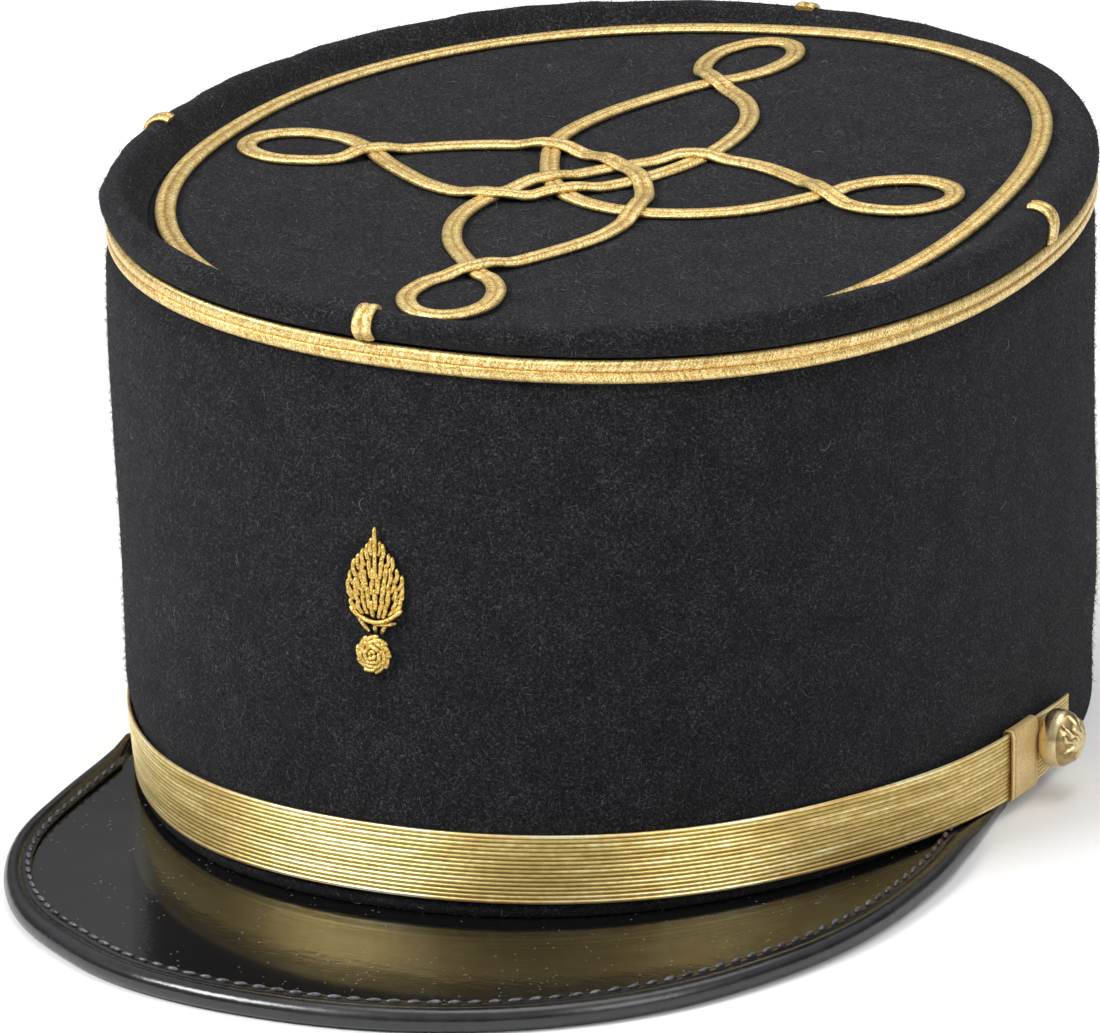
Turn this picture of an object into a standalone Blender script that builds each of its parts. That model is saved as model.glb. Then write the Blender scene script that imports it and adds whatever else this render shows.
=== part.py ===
"""Officer's dress kepi: tapered felt crown with a sunk top, gilt braid, ribbed chin strap, patent peak.

The front faces -Y and the wearer's left is +X. The cap stands on z = 0.
"""

import math
from collections import namedtuple

import bmesh
import bpy
from mathutils import Vector

# Plan ovals of the crown, in metres: superellipses measured from the crown's own centre.
Oval = namedtuple("Oval", "half_width half_length power centre_y")
BASE_OVAL = Oval(0.0815, 0.1044, 2.11, 0.0011)
RING_OVAL = Oval(0.0826, 0.0938, 2.19, 0.0)
CREST_OVAL = Oval(0.0820, 0.0932, 2.19, -0.0010)
TOP_BRAID_OVAL = Oval(0.0738, 0.0852, 2.22, 0.0008)

# How the soft crown's edges rise and fall: a mean height, the rise towards the back and towards the
# wearer's left, a saddle (sides up, ends down) and a twist (back left and front right of the plan up).
Level = namedtuple("Level", "mean back left saddle twist")
RING_LEVEL = Level(0.1011, 0.0013, -0.0019, -0.0008, 0.0)
CREST_LEVEL = Level(0.1055, 0.0004, -0.0005, -0.0004, 0.0009)
TOP_LEVEL = Level(0.1038, 0.0025, 0.0015, 0.0008, 0.0015)
RIM_ROOM = 0.0026  # the ring of braid stays at least this far below the rim's middle

FELT = 0.0025  # thickness of the crown's cloth
GAP = 0.0003  # clearance between pieces that touch on the real cap
RIM_RADIUS = 0.0026  # the rim is rolled over this radius
RIM_SHOULDER_OUT = 0.0015  # the rim swells this far past the wall, just above the ring of braid
RIM_FOOT_IN = 0.0041  # the rim's inner slope meets the top this far inside the crest
RIM_COVER = 0.0014  # under the rim the top's edge stays at least this far below the rim's upper side
COLUMNS = 72  # steps round the crown

BRAID_THICK = 0.0015
RING_BRAID_HALF = 0.0020
TOP_BRAID_HALF = 0.0018
KNOT_BRAID_HALF = 0.00175
STUB_HALF = 0.0021
STUB_INSIDE = 0.0038  # how far a stub runs inwards past the crest

# The four-lobed knot in plan, in millimetres from the crown's centre: each arm's loop has a tip and a
# neck, and the strand goes on from the neck through these points to the next arm's neck.
KnotArm = namedtuple("KnotArm", "tip neck half_width way_on")
KNOT_ARMS = (
    KnotArm((-67.8, -4.6), (-44.2, -2.8), 7.6,
            ((-34.6, 4.4), (-23.1, 9.2), (-11.6, 9.8), (-0.6, 4.4), (8.4, -3.1), (13.2, -14.6),
             (13.0, -29.6), (5.4, -44.6))),
    KnotArm((0.8, -75.0), (-0.7, -52.9), 7.2,
            ((-10.6, -41.6), (-15.0, -28.6), (-13.2, -15.1), (-4.6, -2.6), (3.4, 5.9), (11.9, 12.0),
             (24.4, 11.0), (35.4, 5.4))),
    KnotArm((65.2, 4.0), (42.1, 0.2), 7.5,
            ((31.4, -11.6), (16.9, -17.2), (4.4, -16.0), (-5.1, -9.6), (-11.6, 1.9), (-15.8, 15.9),
             (-13.2, 31.4), (-6.6, 45.9))),
    KnotArm((0.0, 78.6), (-2.2, 52.8), 7.2,
            ((8.9, 42.9), (14.2, 30.0), (13.8, 13.9), (8.0, -0.6), (-1.1, -10.6), (-12.1, -17.5),
             (-25.1, -16.4), (-36.6, -9.1))),
)
LoopPoint = namedtuple("LoopPoint", "along across")
KNOT_LOOP = (  # shares of the way from neck to tip, and of the half width
    LoopPoint(0.16, 0.52),
    LoopPoint(0.38, 0.92),
    LoopPoint(0.68, 1.02),
    LoopPoint(0.92, 0.62),
)
NECK_OFFSET = 0.02  # the two strands of a neck meet this share of the loop apart
KNOT_STEPS = 2  # steps between two of the points
CROSSING_LIFT = 0.0019  # the upper braid of a crossing climbs this much
CROSSING_REACH = 0.0075  # over this distance each way

STRAP_HALF = 0.0061
STRAP_THICK = 0.0015
STRAP_SIDE_HEIGHT = 0.0082  # centre line of the strap at the buttons
STRAP_FRONT_RISE = 0.0039  # and its rise above that at the front
STRAP_END_ANGLE = math.radians(5.6)  # behind the crown's widest point, where the strap ends
STRAP_END_HALF = 0.0046
STRAP_STEPS = 60
STRAP_STAND_OFF = 0.0013  # the loops and buttons hold the strap this far off the wall
STRAP_LEFT_RUN = (0.25, 0.60)  # it comes in to the felt over this share of the way forward
STRAP_RIGHT_RUN = (0.17, 0.34)
LOOP_FRONT_ANGLE = math.radians(-7.9)
LOOP_BACK_ANGLE = math.radians(-2.6)
LOOP_WALL = 0.0006
BUTTON_ANGLE = math.radians(-1.1)
BUTTON_HEIGHT = 0.0102
BUTTON_RADIUS = 0.0052
BUTTON_STEPS = 20

# Peak: a flat superellipse in front of the crown, sewn on a little askew, its sides running back
# beside the temples and in under the crown's lower edge.
PEAK_CENTRE_X = 0.0057
PEAK_HALF_WIDTH = 0.0796
PEAK_CENTRE_Y = -0.0650
PEAK_LENGTH = 0.0857
PEAK_BACK_LENGTH = 0.1027
PEAK_POWER = 2.17
PEAK_SKEW = 0.067  # how far its middle line goes to the side for each step back
PEAK_TOP = 0.0028
PEAK_BOTTOM = 0.0003
PEAK_TUCK = 0.0040  # the plate runs this far in under the crown's edge
PEAK_END_ROOM = 0.0019  # the plate ends where the peak's edge is this far outside the crown
BINDING_END_ROOM = -0.0026  # and the binding where its outer edge is this far inside
PEAK_STEPS = 44
BINDING_ROLL = 0.0021  # radius of the rolled edge
BINDING_BAND = 0.0067  # width of the binding, from the outer edge to its inner line
BINDING_LOW = 0.0026  # height of the roll where it runs in under the crown
BAND_THICK = 0.0005
CROWN_LIFT = PEAK_TOP + GAP  # the crown's edge sits on the peak
LIFT_END_LEFT_Y = -0.0080  # and comes down behind the binding's end on each side
LIFT_END_RIGHT_Y = -0.0415
LIFT_RUN = 0.0060

# Front badge, embroidered: a flame above a ball. Height above the flame's foot against half width.
FlameRow = namedtuple("FlameRow", "height half_width")
FLAME_ROWS = (
    FlameRow(0.0, 0.0018),
    FlameRow(0.0022, 0.0036),
    FlameRow(0.0050, 0.0055),
    FlameRow(0.0080, 0.0053),
    FlameRow(0.0110, 0.0043),
    FlameRow(0.0140, 0.0029),
    FlameRow(0.0168, 0.0014),
    FlameRow(0.0187, 0.0005),
)
FLAME_FOOT = 0.0518
FLAME_THICK = 0.0013
BALL_CENTRE = 0.0479
BALL_RADIUS = 0.0034
BALL_THICK = 0.0018

# The origin is the middle of the whole cap's footprint, which the peak carries forwards.
CROWN_Y = (PEAK_LENGTH - PEAK_CENTRE_Y - BASE_OVAL.half_length - BASE_OVAL.centre_y) / 2


def material(name, colour, roughness, metallic=0.0):
    """A plain Principled material in linear colour."""
    made = bpy.data.materials.new(name)
    made.use_nodes = True
    shader = made.node_tree.nodes["Principled BSDF"]
    shader.inputs["Base Color"].default_value = (*colour, 1.0)
    shader.inputs["Roughness"].default_value = roughness
    shader.inputs["Metallic"].default_value = metallic
    made.diffuse_color = (*colour, 1.0)
    return made


def finish(name, bm, look, smooth_degrees=40.0):
    """Turn a bmesh into a named object of the cap."""
    bmesh.ops.recalc_face_normals(bm, faces=bm.faces)
    mesh = bpy.data.meshes.new(name)
    bm.to_mesh(mesh)
    bm.free()
    mesh.shade_smooth()
    mesh.set_sharp_from_angle(angle=math.radians(smooth_degrees))
    mesh.materials.append(look)
    made = bpy.data.objects.new(name, mesh)
    bpy.context.scene.collection.objects.link(made)
    made.parent = KEPI
    return made


def loft(name, sections, look, closed, smooth_degrees=40.0):
    """A closed skin through sections of equally many points; the ends of an open run are capped."""
    bm = bmesh.new()
    rings = [[bm.verts.new(point) for point in section] for section in sections]
    following = rings[1:] + rings[:1] if closed else rings[1:]
    for ring, after in zip(rings, following):
        for i in range(len(ring)):
            bm.faces.new((ring[i - 1], ring[i], after[i], after[i - 1]))
    if not closed:
        bm.faces.new(rings[0])
        bm.faces.new(rings[-1])
    return finish(name, bm, look, smooth_degrees)


def smooth_step(low, high, value):
    share = min(max((value - low) / (high - low), 0.0), 1.0)
    return share * share * (3.0 - 2.0 * share)


def oval_point(oval, angle):
    """Point of a plan oval: angle 0 is the wearer's left, -90 degrees the front."""
    x, y = math.cos(angle), math.sin(angle)
    exponent = 2.0 / oval.power
    return Vector((
        oval.half_width * math.copysign(abs(x) ** exponent, x),
        oval.centre_y + oval.half_length * math.copysign(abs(y) ** exponent, y),
        0.0,
    ))


def oval_normal(oval, angle):
    step = 0.02
    along = oval_point(oval, angle + step) - oval_point(oval, angle - step)
    return Vector((along.y, -along.x, 0.0)).normalized()


def oval_angle(oval, x):
    """Angle on the front half where a plan oval passes x."""
    return -math.acos(math.copysign(abs(x / oval.half_width) ** (oval.power / 2.0), x))


def edge_height(level, angle):
    return (level.mean + level.back * math.sin(angle) + level.left * math.cos(angle)
            + level.saddle * math.cos(2 * angle) + level.twist * math.sin(2 * angle))


def top_height(point):
    """Height of the sunk top's upper face over a plan point."""
    across = point.x / TOP_BRAID_OVAL.half_width
    along = (point.y - TOP_BRAID_OVAL.centre_y) / TOP_BRAID_OVAL.half_length
    return (TOP_LEVEL.mean + TOP_LEVEL.back * along + TOP_LEVEL.left * across
            + TOP_LEVEL.saddle * (across * across - along * along)
            + TOP_LEVEL.twist * 2 * across * along)


def ring_height(angle):
    """Middle of the ring of braid, eased down where its own level would run into the rim."""
    crest = edge_height(CREST_LEVEL, angle)
    room = crest - edge_height(RING_LEVEL, angle)
    easing = 0.0005
    return crest - (room + RIM_ROOM + math.hypot(room - RIM_ROOM, easing)) / 2


def groove_height(angle):
    """Upper end of the crown's straight wall, just above the ring of braid."""
    return ring_height(angle) + RING_BRAID_HALF + GAP


def wall_point(angle, height, out=0.0):
    """Point on the crown's outer wall, or that far outside it."""
    share = height / groove_height(angle)
    point = oval_point(BASE_OVAL, angle).lerp(oval_point(RING_OVAL, angle), share)
    point.z = height
    normal = oval_normal(BASE_OVAL, angle).lerp(oval_normal(RING_OVAL, angle), share)
    return point + normal.normalized() * out


def crown_foot(angle):
    """Height of the crown's lower edge: it stands on the peak in front and on the ground behind."""
    point = oval_point(BASE_OVAL, angle)
    end_y = LIFT_END_LEFT_Y if point.x > 0 else LIFT_END_RIGHT_Y
    return CROWN_LIFT * (1.0 - smooth_step(end_y, end_y + LIFT_RUN, point.y))


def rim_line(angle):
    """Outer line of the rolled rim: plan distance in from the crest, height. Shoulder to inner foot."""
    crest = oval_point(CREST_OVAL, angle)
    inward = -oval_normal(CREST_OVAL, angle)
    height = edge_height(CREST_LEVEL, angle)
    foot = top_height(crest + inward * RIM_FOOT_IN) + GAP
    wall = wall_point(angle, groove_height(angle), RIM_SHOULDER_OUT)
    shoulder_in = (wall - crest).dot(inward)
    shoulder_height = min(groove_height(angle) + 0.0007, height - GAP)
    line = [(shoulder_in, shoulder_height)]
    for degrees in (0, 45, 90, 135, 180):
        turn = math.radians(degrees)
        rise = height + RIM_RADIUS * math.sin(turn)
        line.append((-RIM_RADIUS * math.cos(turn), rise if degrees < 90 else max(rise, foot)))
    line.append((RIM_FOOT_IN, foot))
    return line


def hidden_height(angle, point):
    """Height of the top's upper face where it runs in under the rim."""
    return min(top_height(point), edge_height(CREST_LEVEL, angle) + RIM_RADIUS - RIM_COVER)


def rim_point(angle, inward, height):
    point = oval_point(CREST_OVAL, angle) - oval_normal(CREST_OVAL, angle) * inward
    point.z = height
    return point


def crown_section(angle):
    """The crown's cloth cut through at one angle, from the outer lower edge over the rim to the inner."""
    foot = crown_foot(angle)
    groove = groove_height(angle)
    section = [wall_point(angle, foot), wall_point(angle, groove)]
    section += [rim_point(angle, *step) for step in rim_line(angle)]
    under = wall_point(angle, groove, -FELT)
    under.z = hidden_height(angle, under) + GAP
    return [*section, under, wall_point(angle, foot, -FELT)]


def crown_side(look):
    angles = [2 * math.pi * i / COLUMNS for i in range(COLUMNS)]
    return loft("crown_side", [crown_section(a) for a in angles], look, closed=True)


def crown_top(look):
    """The sunk top: a sheet of felt whose edge runs in under the rim."""
    bm = bmesh.new()
    centre = Vector((0.0, TOP_BRAID_OVAL.centre_y, 0.0))
    angles = [2 * math.pi * i / COLUMNS for i in range(COLUMNS)]
    sides = []
    for drop in (0.0, FELT):
        hidden = []
        for angle in angles:
            point = wall_point(angle, groove_height(angle), -FELT - GAP)
            hidden.append(bm.verts.new((point.x, point.y, hidden_height(angle, point) - drop)))
        rings = [hidden]
        for share in (1.0, 0.74, 0.42):
            ring = []
            for angle in angles:
                point = centre.lerp(rim_point(angle, RIM_FOOT_IN, 0.0), share)
                ring.append(bm.verts.new((point.x, point.y, top_height(point) - drop)))
            rings.append(ring)
        for ring, inner in zip(rings, rings[1:]):
            for i in range(COLUMNS):
                bm.faces.new((ring[i - 1], ring[i], inner[i], inner[i - 1]))
        hub = bm.verts.new((centre.x, centre.y, top_height(centre) - drop))
        for i in range(COLUMNS):
            bm.faces.new((rings[-1][i - 1], rings[-1][i], hub))
        sides.append(rings[0])
    for i in range(COLUMNS):
        bm.faces.new((sides[0][i - 1], sides[0][i], sides[1][i], sides[1][i - 1]))
    return finish("crown_top", bm, look)


def braid_section(half_width):
    """Flat braid cut across, as (across, up) from the middle of its back."""
    return ((-half_width * 0.85, 0.0), (half_width * 0.85, 0.0), (half_width, BRAID_THICK * 0.6),
            (half_width * 0.55, BRAID_THICK), (-half_width * 0.55, BRAID_THICK),
            (-half_width, BRAID_THICK * 0.6))


def ring_braid(look):
    """Braid round the outside of the crown, where the wall meets the rim."""
    sections = []
    for i in range(COLUMNS):
        angle = 2 * math.pi * i / COLUMNS
        middle = ring_height(angle)
        sections.append([wall_point(angle, middle + across, GAP + up)
                         for across, up in braid_section(RING_BRAID_HALF)])
    return loft("ring_braid", sections, look, closed=True)


def laid_braid(name, path, half_width, look):
    """Braid laid flat on the sunk top along a closed path of (plan point, lift)."""
    sections = []
    for i, (point, lift) in enumerate(path):
        along = path[(i + 1) % len(path)][0] - path[i - 1][0]
        side = Vector((along.y, -along.x, 0.0)).normalized()
        section = []
        for across, up in braid_section(half_width):
            corner = point + side * across
            section.append(Vector((corner.x, corner.y, top_height(corner) + GAP + lift + up)))
        sections.append(section)
    return loft(name, sections, look, closed=True)


def top_braid(look):
    angles = (2 * math.pi * i / COLUMNS for i in range(COLUMNS))
    path = [(oval_point(TOP_BRAID_OVAL, a), 0.0) for a in angles]
    return laid_braid("top_braid", path, TOP_BRAID_HALF, look)


def catmull_rom(a, b, c, d, t):
    return (b * 2 + (c - a) * t + (a * 2 - b * 5 + c * 4 - d) * t * t
            + (b * 3 - a - c * 3 + d) * t ** 3) * 0.5


def knot_loop(arm, side):
    """One side of an arm's loop, as plan points from the neck to the tip."""
    neck, tip = Vector((*arm.neck, 0.0)) * 0.001, Vector((*arm.tip, 0.0)) * 0.001
    along = tip - neck
    across = Vector((-along.y, along.x, 0.0)).normalized() * arm.half_width * 0.001 * side
    return [neck + along * NECK_OFFSET * side,
            *(neck + along * p.along + across * p.across for p in KNOT_LOOP), tip]


def knot_outline():
    """The whole knot's centre line as plan points: four quarters, each from tip to tip."""
    points = []
    for arm, following in zip(KNOT_ARMS, (*KNOT_ARMS[1:], KNOT_ARMS[0])):
        points += reversed(knot_loop(arm, 1.0))
        points += [Vector((x, y, 0.0)) * 0.001 for x, y in arm.way_on]
        points += knot_loop(following, -1.0)[:-1]
    count = len(points)
    return [catmull_rom(points[i - 1], points[i], points[(i + 1) % count], points[(i + 2) % count],
                        step / KNOT_STEPS)
            for i in range(count) for step in range(KNOT_STEPS)]


def crossings(line):
    """Pairs of places (in steps along the line) where the closed line crosses itself."""
    found = []
    count = len(line)
    for i in range(count):
        for j in range(i + 2, count if i else count - 1):
            a, b = line[i], line[(i + 1) % count]
            c, d = line[j], line[(j + 1) % count]
            r, s, w = b - a, d - c, c - a
            cross = r.x * s.y - r.y * s.x
            if abs(cross) < 1e-12:
                continue
            t = (w.x * s.y - w.y * s.x) / cross
            u = (w.x * r.y - w.y * r.x) / cross
            if 0 <= t < 1 and 0 <= u < 1:
                found.append((i + t, j + u))
    return found


def upper_place(line, first, second):
    """Which of two crossing places lies on top.

    At a loop's neck the strand that comes in from the middle is on top. In the middle the quarters
    lie over one another in the order in which they were laid, which differs on the two sides.
    """
    quarter = len(line) / 4
    if min(second - first, len(line) - (second - first)) < 0.5 * quarter:
        return first if second - first < len(line) / 2 else second
    rank = (3, 1, 0, 2) if line[int(first)].x < 0.0 else (3, 2, 0, 1)
    return max((first, second), key=lambda place: rank[int(place // quarter) % 4])


def knot_braid(look):
    line = knot_outline()
    count = len(line)
    lengths = [(line[(i + 1) % count] - line[i]).length for i in range(count)]
    place = [sum(lengths[:i]) for i in range(count)]
    whole = sum(lengths)
    lifts = [0.0] * count
    for first, second in crossings(line):
        top = upper_place(line, first, second)
        centre = place[int(top)] + (top % 1) * lengths[int(top)]
        for i in range(count):
            away = abs(place[i] - centre)
            away = min(away, whole - away)
            if away < CROSSING_REACH:
                rise = 1.0 - smooth_step(CROSSING_REACH * 0.42, CROSSING_REACH, away)
                lifts[i] = max(lifts[i], CROSSING_LIFT * rise)
    return laid_braid("knot_braid", list(zip(line, lifts)), KNOT_BRAID_HALF, look)


def offset_line(line, distance):
    """A line of (inward, height) points moved to its outer side; its first point moves level."""
    moved = []
    for i, (x, z) in enumerate(line):
        if i == 0:
            moved.append((x - distance, z))
            continue
        before = line[i - 1]
        after = line[min(i + 1, len(line) - 1)]
        run = Vector((after[0] - before[0], after[1] - before[1])).normalized()
        moved.append((x - run.y * distance, z + run.x * distance))
    return moved


def stub(name, angle, look):
    """Short braid from the ring, up over the rim and a little way in."""
    line = [p for p in rim_line(angle) if p[0] < STUB_INSIDE]
    last, foot = line[-1], rim_line(angle)[-1]
    share = (STUB_INSIDE - last[0]) / (foot[0] - last[0])
    line.append((STUB_INSIDE, last[1] + (foot[1] - last[1]) * share))
    low, high = offset_line(line, GAP), offset_line(line, GAP + BRAID_THICK)
    along = oval_normal(CREST_OVAL, angle).cross(Vector((0, 0, 1)))
    sections = []
    for inner, outer in zip(low, high):
        near, far = rim_point(angle, *inner), rim_point(angle, *outer)
        sections.append([near - along * STUB_HALF, near + along * STUB_HALF,
                         far + along * STUB_HALF * 0.8, far - along * STUB_HALF * 0.8])
    return loft(name, sections, look, closed=False)


def wall_relief(name, rows, thick, look):
    """A raised patch on the front wall through rows of (height, half width)."""
    sections = []
    for height, half in rows:
        section = []
        for share, up in ((-1, 0.0), (1, 0.0), (0.9, 0.6), (0.45, 0.95), (-0.45, 0.95), (-0.9, 0.6)):
            angle = oval_angle(RING_OVAL, share * half)
            section.append(wall_point(angle, height, GAP + up * thick))
        sections.append(section)
    return loft(name, sections, look, closed=False)


def badge_flame(look):
    rows = [(FLAME_FOOT + row.height, row.half_width) for row in FLAME_ROWS]
    return wall_relief("badge_flame", rows, FLAME_THICK, look)


def badge_ball(look):
    steps = 8
    rows = []
    for i in range(1, steps):
        turn = math.pi * i / steps
        rows.append((BALL_CENTRE - BALL_RADIUS * math.cos(turn), BALL_RADIUS * math.sin(turn)))
    return wall_relief("badge_ball", rows, BALL_THICK, look)


def peak_edge(turn, inset=0.0):
    """Plan point of the peak's outer edge: turn -90 degrees is the front middle."""
    def at(angle):
        x, y = math.cos(angle), math.sin(angle)
        exponent = 2.0 / PEAK_POWER
        along = (PEAK_LENGTH if y < 0 else PEAK_BACK_LENGTH) * math.copysign(abs(y) ** exponent, y)
        across = PEAK_HALF_WIDTH * math.copysign(abs(x) ** exponent, x)
        return Vector((PEAK_CENTRE_X + across + PEAK_SKEW * along, PEAK_CENTRE_Y + along, 0.0))
    along = at(turn + 0.01) - at(turn - 0.01)
    return at(turn) - Vector((along.y, -along.x, 0.0)).normalized() * inset


def base_angle(point):
    """Angle on the crown's lower edge beside a plan point."""
    return math.atan2((point.y - BASE_OVAL.centre_y) / BASE_OVAL.half_length,
                      point.x / BASE_OVAL.half_width)


def base_inside(point, inset):
    """The way in from a point of the peak to a line inset from the crown's lower edge."""
    angle = base_angle(point)
    return oval_point(BASE_OVAL, angle) - oval_normal(BASE_OVAL, angle) * inset


def edge_room(turn):
    """How far the peak's edge stands outside the crown's lower edge."""
    edge = peak_edge(turn)
    return (edge - base_inside(edge, 0.0)).dot(oval_normal(BASE_OVAL, base_angle(edge)))


def temple_turn(side, room):
    """Turn at which the peak's edge, followed back on one side, has come this near to the crown."""
    turn = -math.pi / 2
    while edge_room(turn) > room:
        turn += 0.002 * side
    return turn


def peak_turns(end_room, steps):
    """Turns at even steps along the peak's edge, from the wearer's right temple to the left."""
    start, stop = temple_turn(-1, end_room), temple_turn(1, end_room)
    fine = [start + (stop - start) * i / (steps * 8) for i in range(steps * 8 + 1)]
    run = [0.0]
    for turn, after in zip(fine, fine[1:]):
        run.append(run[-1] + (peak_edge(after) - peak_edge(turn)).length)
    turns, i = [], 0
    for step in range(steps):
        while run[i + 1] <= run[-1] * step / steps:
            i += 1
        turns.append(fine[i] + (fine[i + 1] - fine[i])
                     * (run[-1] * step / steps - run[i]) / (run[i + 1] - run[i]))
    return [*turns, stop]


def visor(look):
    """The stiff plate of the peak, from inside its binding to under the crown's edge."""
    sections = []
    for turn in peak_turns(PEAK_END_ROOM, PEAK_STEPS):
        outer = peak_edge(turn, 2 * BINDING_ROLL + GAP)
        inner = base_inside(outer, PEAK_TUCK)
        sections.append([Vector((p.x, p.y, z)) for p, z in (
            (outer, PEAK_BOTTOM), (outer, PEAK_TOP), (inner, PEAK_TOP), (inner, PEAK_BOTTOM))])
    return loft("visor", sections, look, closed=False, smooth_degrees=30.0)


def binding_section(turn):
    """The binding cut across: a round roll, and a flat band on the plate that fades at the temples."""
    room = edge_room(turn)
    tall = BINDING_LOW + (2 * BINDING_ROLL - BINDING_LOW) * smooth_step(0.0045, 0.0072, room)
    deep = 2 * BINDING_ROLL
    flat = deep + (BINDING_BAND - deep) * smooth_step(0.0080, 0.0115, room)
    roll = []
    for degrees in (-90, -50, 0, 50, 90):
        turned = math.radians(degrees)
        roll.append((BINDING_ROLL - BINDING_ROLL * math.cos(turned), tall / 2 * (1 + math.sin(turned))))
    band_low = min(PEAK_TOP + GAP, tall * 0.75)
    band_high = min(band_low + BAND_THICK, tall * 0.85)
    roll += [(deep, tall * 0.88), (flat, band_high), (flat, band_low), (deep, band_low * 0.97),
             (deep, tall * 0.15)]
    points = []
    for inset, height in roll:
        plan = peak_edge(turn, inset)
        points.append(Vector((plan.x, plan.y, height)))
    return points


def visor_binding(look):
    sections = [binding_section(turn) for turn in peak_turns(BINDING_END_ROOM, PEAK_STEPS + 8)]
    return loft("visor_binding", sections, look, closed=False)


def strap_height(angle):
    return STRAP_SIDE_HEIGHT + STRAP_FRONT_RISE * max(-math.sin(angle), 0.0)


def strap_stand_off(angle):
    """The strap lies on the felt in front and stands off it at its loops, further on the left."""
    run = STRAP_LEFT_RUN if math.cos(angle) > 0.0 else STRAP_RIGHT_RUN
    return GAP + (STRAP_STAND_OFF - GAP) * (1.0 - smooth_step(*run, -math.sin(angle)))


def strap_half(angle):
    """Half width: the ends narrow behind the loops."""
    behind = math.sin(angle)
    return STRAP_HALF - (STRAP_HALF - STRAP_END_HALF) * smooth_step(-0.04, 0.12, behind)


def chin_strap(look):
    """Ribbed band across the front, from button to button."""
    sections = []
    start, stop = -math.pi - STRAP_END_ANGLE, STRAP_END_ANGLE
    for i in range(STRAP_STEPS + 1):
        angle = start + (stop - start) * i / STRAP_STEPS
        middle, half, off = strap_height(angle), strap_half(angle), strap_stand_off(angle)
        sections.append([wall_point(angle, middle + across * half, off + up * STRAP_THICK)
                         for across, up in ((-1, 0.1), (-0.9, 0), (0.9, 0), (1, 0.1), (0.95, 1), (-0.95, 1))])
    return loft("chin_strap", sections, look, closed=False)


def strap_loop(name, side, look):
    """Flat sleeve round the strap, ahead of a button. side is 1 for the wearer's left, -1 for the right."""
    ends = [a if side > 0 else math.pi - a for a in (LOOP_FRONT_ANGLE, LOOP_BACK_ANGLE)]
    clear = GAP + LOOP_WALL
    sections = []
    corners = ((-1, 0, -1, -1), (1, 0, 1, -1), (1, 1, 1, 1), (-1, 1, -1, 1))
    for across, up, far_across, far_up in corners:
        section = []
        for reach, order in ((GAP, ends), (clear, ends[::-1])):
            for angle in order:
                middle, half, off = strap_height(angle), strap_half(angle), strap_stand_off(angle)
                section.append(wall_point(angle, middle + across * half + far_across * reach,
                                          off + up * STRAP_THICK + far_up * reach))
        sections.append(section)
    return loft(name, sections, look, closed=True)


def button(name, side, look):
    """Ball-shaped gilt button on a small foot, turned about its own axis."""
    profile = ((0.0, 0.0), (0.50, 0.0), (0.56, 0.19), (0.90, 0.24), (1.0, 0.38), (0.98, 0.54),
               (0.90, 0.82), (0.76, 1.01), (0.54, 1.15), (0.28, 1.23), (0.0, 1.25))
    bm = bmesh.new()
    verts = [bm.verts.new((r * BUTTON_RADIUS, 0.0, z * BUTTON_RADIUS)) for r, z in profile]
    edges = [bm.edges.new(pair) for pair in zip(verts, verts[1:])]
    bmesh.ops.spin(bm, geom=verts + edges, cent=(0, 0, 0), axis=(0, 0, 1), angle=2 * math.pi,
                   steps=BUTTON_STEPS, use_merge=True)
    bmesh.ops.remove_doubles(bm, verts=bm.verts, dist=1e-6)
    made = finish(name, bm, look)
    angle = BUTTON_ANGLE if side > 0 else math.pi - BUTTON_ANGLE
    out = strap_stand_off(angle) + STRAP_THICK + GAP
    made.location = wall_point(angle, BUTTON_HEIGHT, out)
    outward = wall_point(angle, BUTTON_HEIGHT, 1.0) - wall_point(angle, BUTTON_HEIGHT)
    made.rotation_mode = "QUATERNION"
    made.rotation_quaternion = outward.to_track_quat("Z", "Y")
    return made


for old in list(bpy.data.objects):
    bpy.data.objects.remove(old)

KEPI = bpy.data.objects.new("kepi", None)
bpy.context.scene.collection.objects.link(KEPI)
KEPI.location = (0.0, CROWN_Y, 0.0)

FELT_LOOK = material("felt", (0.012, 0.012, 0.016), 0.95)
BRAID_LOOK = material("gilt_braid", (0.60, 0.40, 0.13), 0.38, 0.8)
STRAP_LOOK = material("gilt_strap", (0.56, 0.42, 0.14), 0.32, 0.85)
LOOP_LOOK = material("gilt_cloth", (0.58, 0.42, 0.18), 0.55, 0.5)
EMBROIDERY_LOOK = material("gilt_embroidery", (0.58, 0.36, 0.07), 0.35, 0.85)
PATENT_LOOK = material("patent_leather", (0.008, 0.008, 0.009), 0.08)
BINDING_LOOK = material("binding_leather", (0.014, 0.014, 0.017), 0.22)
BUTTON_LOOK = material("gilt_brass", (0.66, 0.47, 0.17), 0.25, 1.0)

crown_side(FELT_LOOK)
crown_top(FELT_LOOK)
ring_braid(BRAID_LOOK)
top_braid(BRAID_LOOK)
knot_braid(BRAID_LOOK)
for place, degrees in (("front", -91), ("left", 1), ("back", 90), ("right", 185)):
    stub(f"stub_{place}", math.radians(degrees), BRAID_LOOK)
badge_flame(EMBROIDERY_LOOK)
badge_ball(EMBROIDERY_LOOK)
visor(PATENT_LOOK)
visor_binding(BINDING_LOOK)
chin_strap(STRAP_LOOK)
for place, side in (("left", 1), ("right", -1)):
    strap_loop(f"strap_loop_{place}", side, LOOP_LOOK)
    button(f"button_{place}", side, BUTTON_LOOK)
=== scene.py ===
"""Dress kepi: felt crown with gilt braid and knot, embroidered flame, ribbed chin strap, patent peak.

The front faces -Y, the wearer's left is +X, and the cap stands on z = 0. Lengths are in metres.
"""

import math
import random
from collections import namedtuple

import bmesh
import bpy
from mathutils import Matrix, Vector, noise


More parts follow.
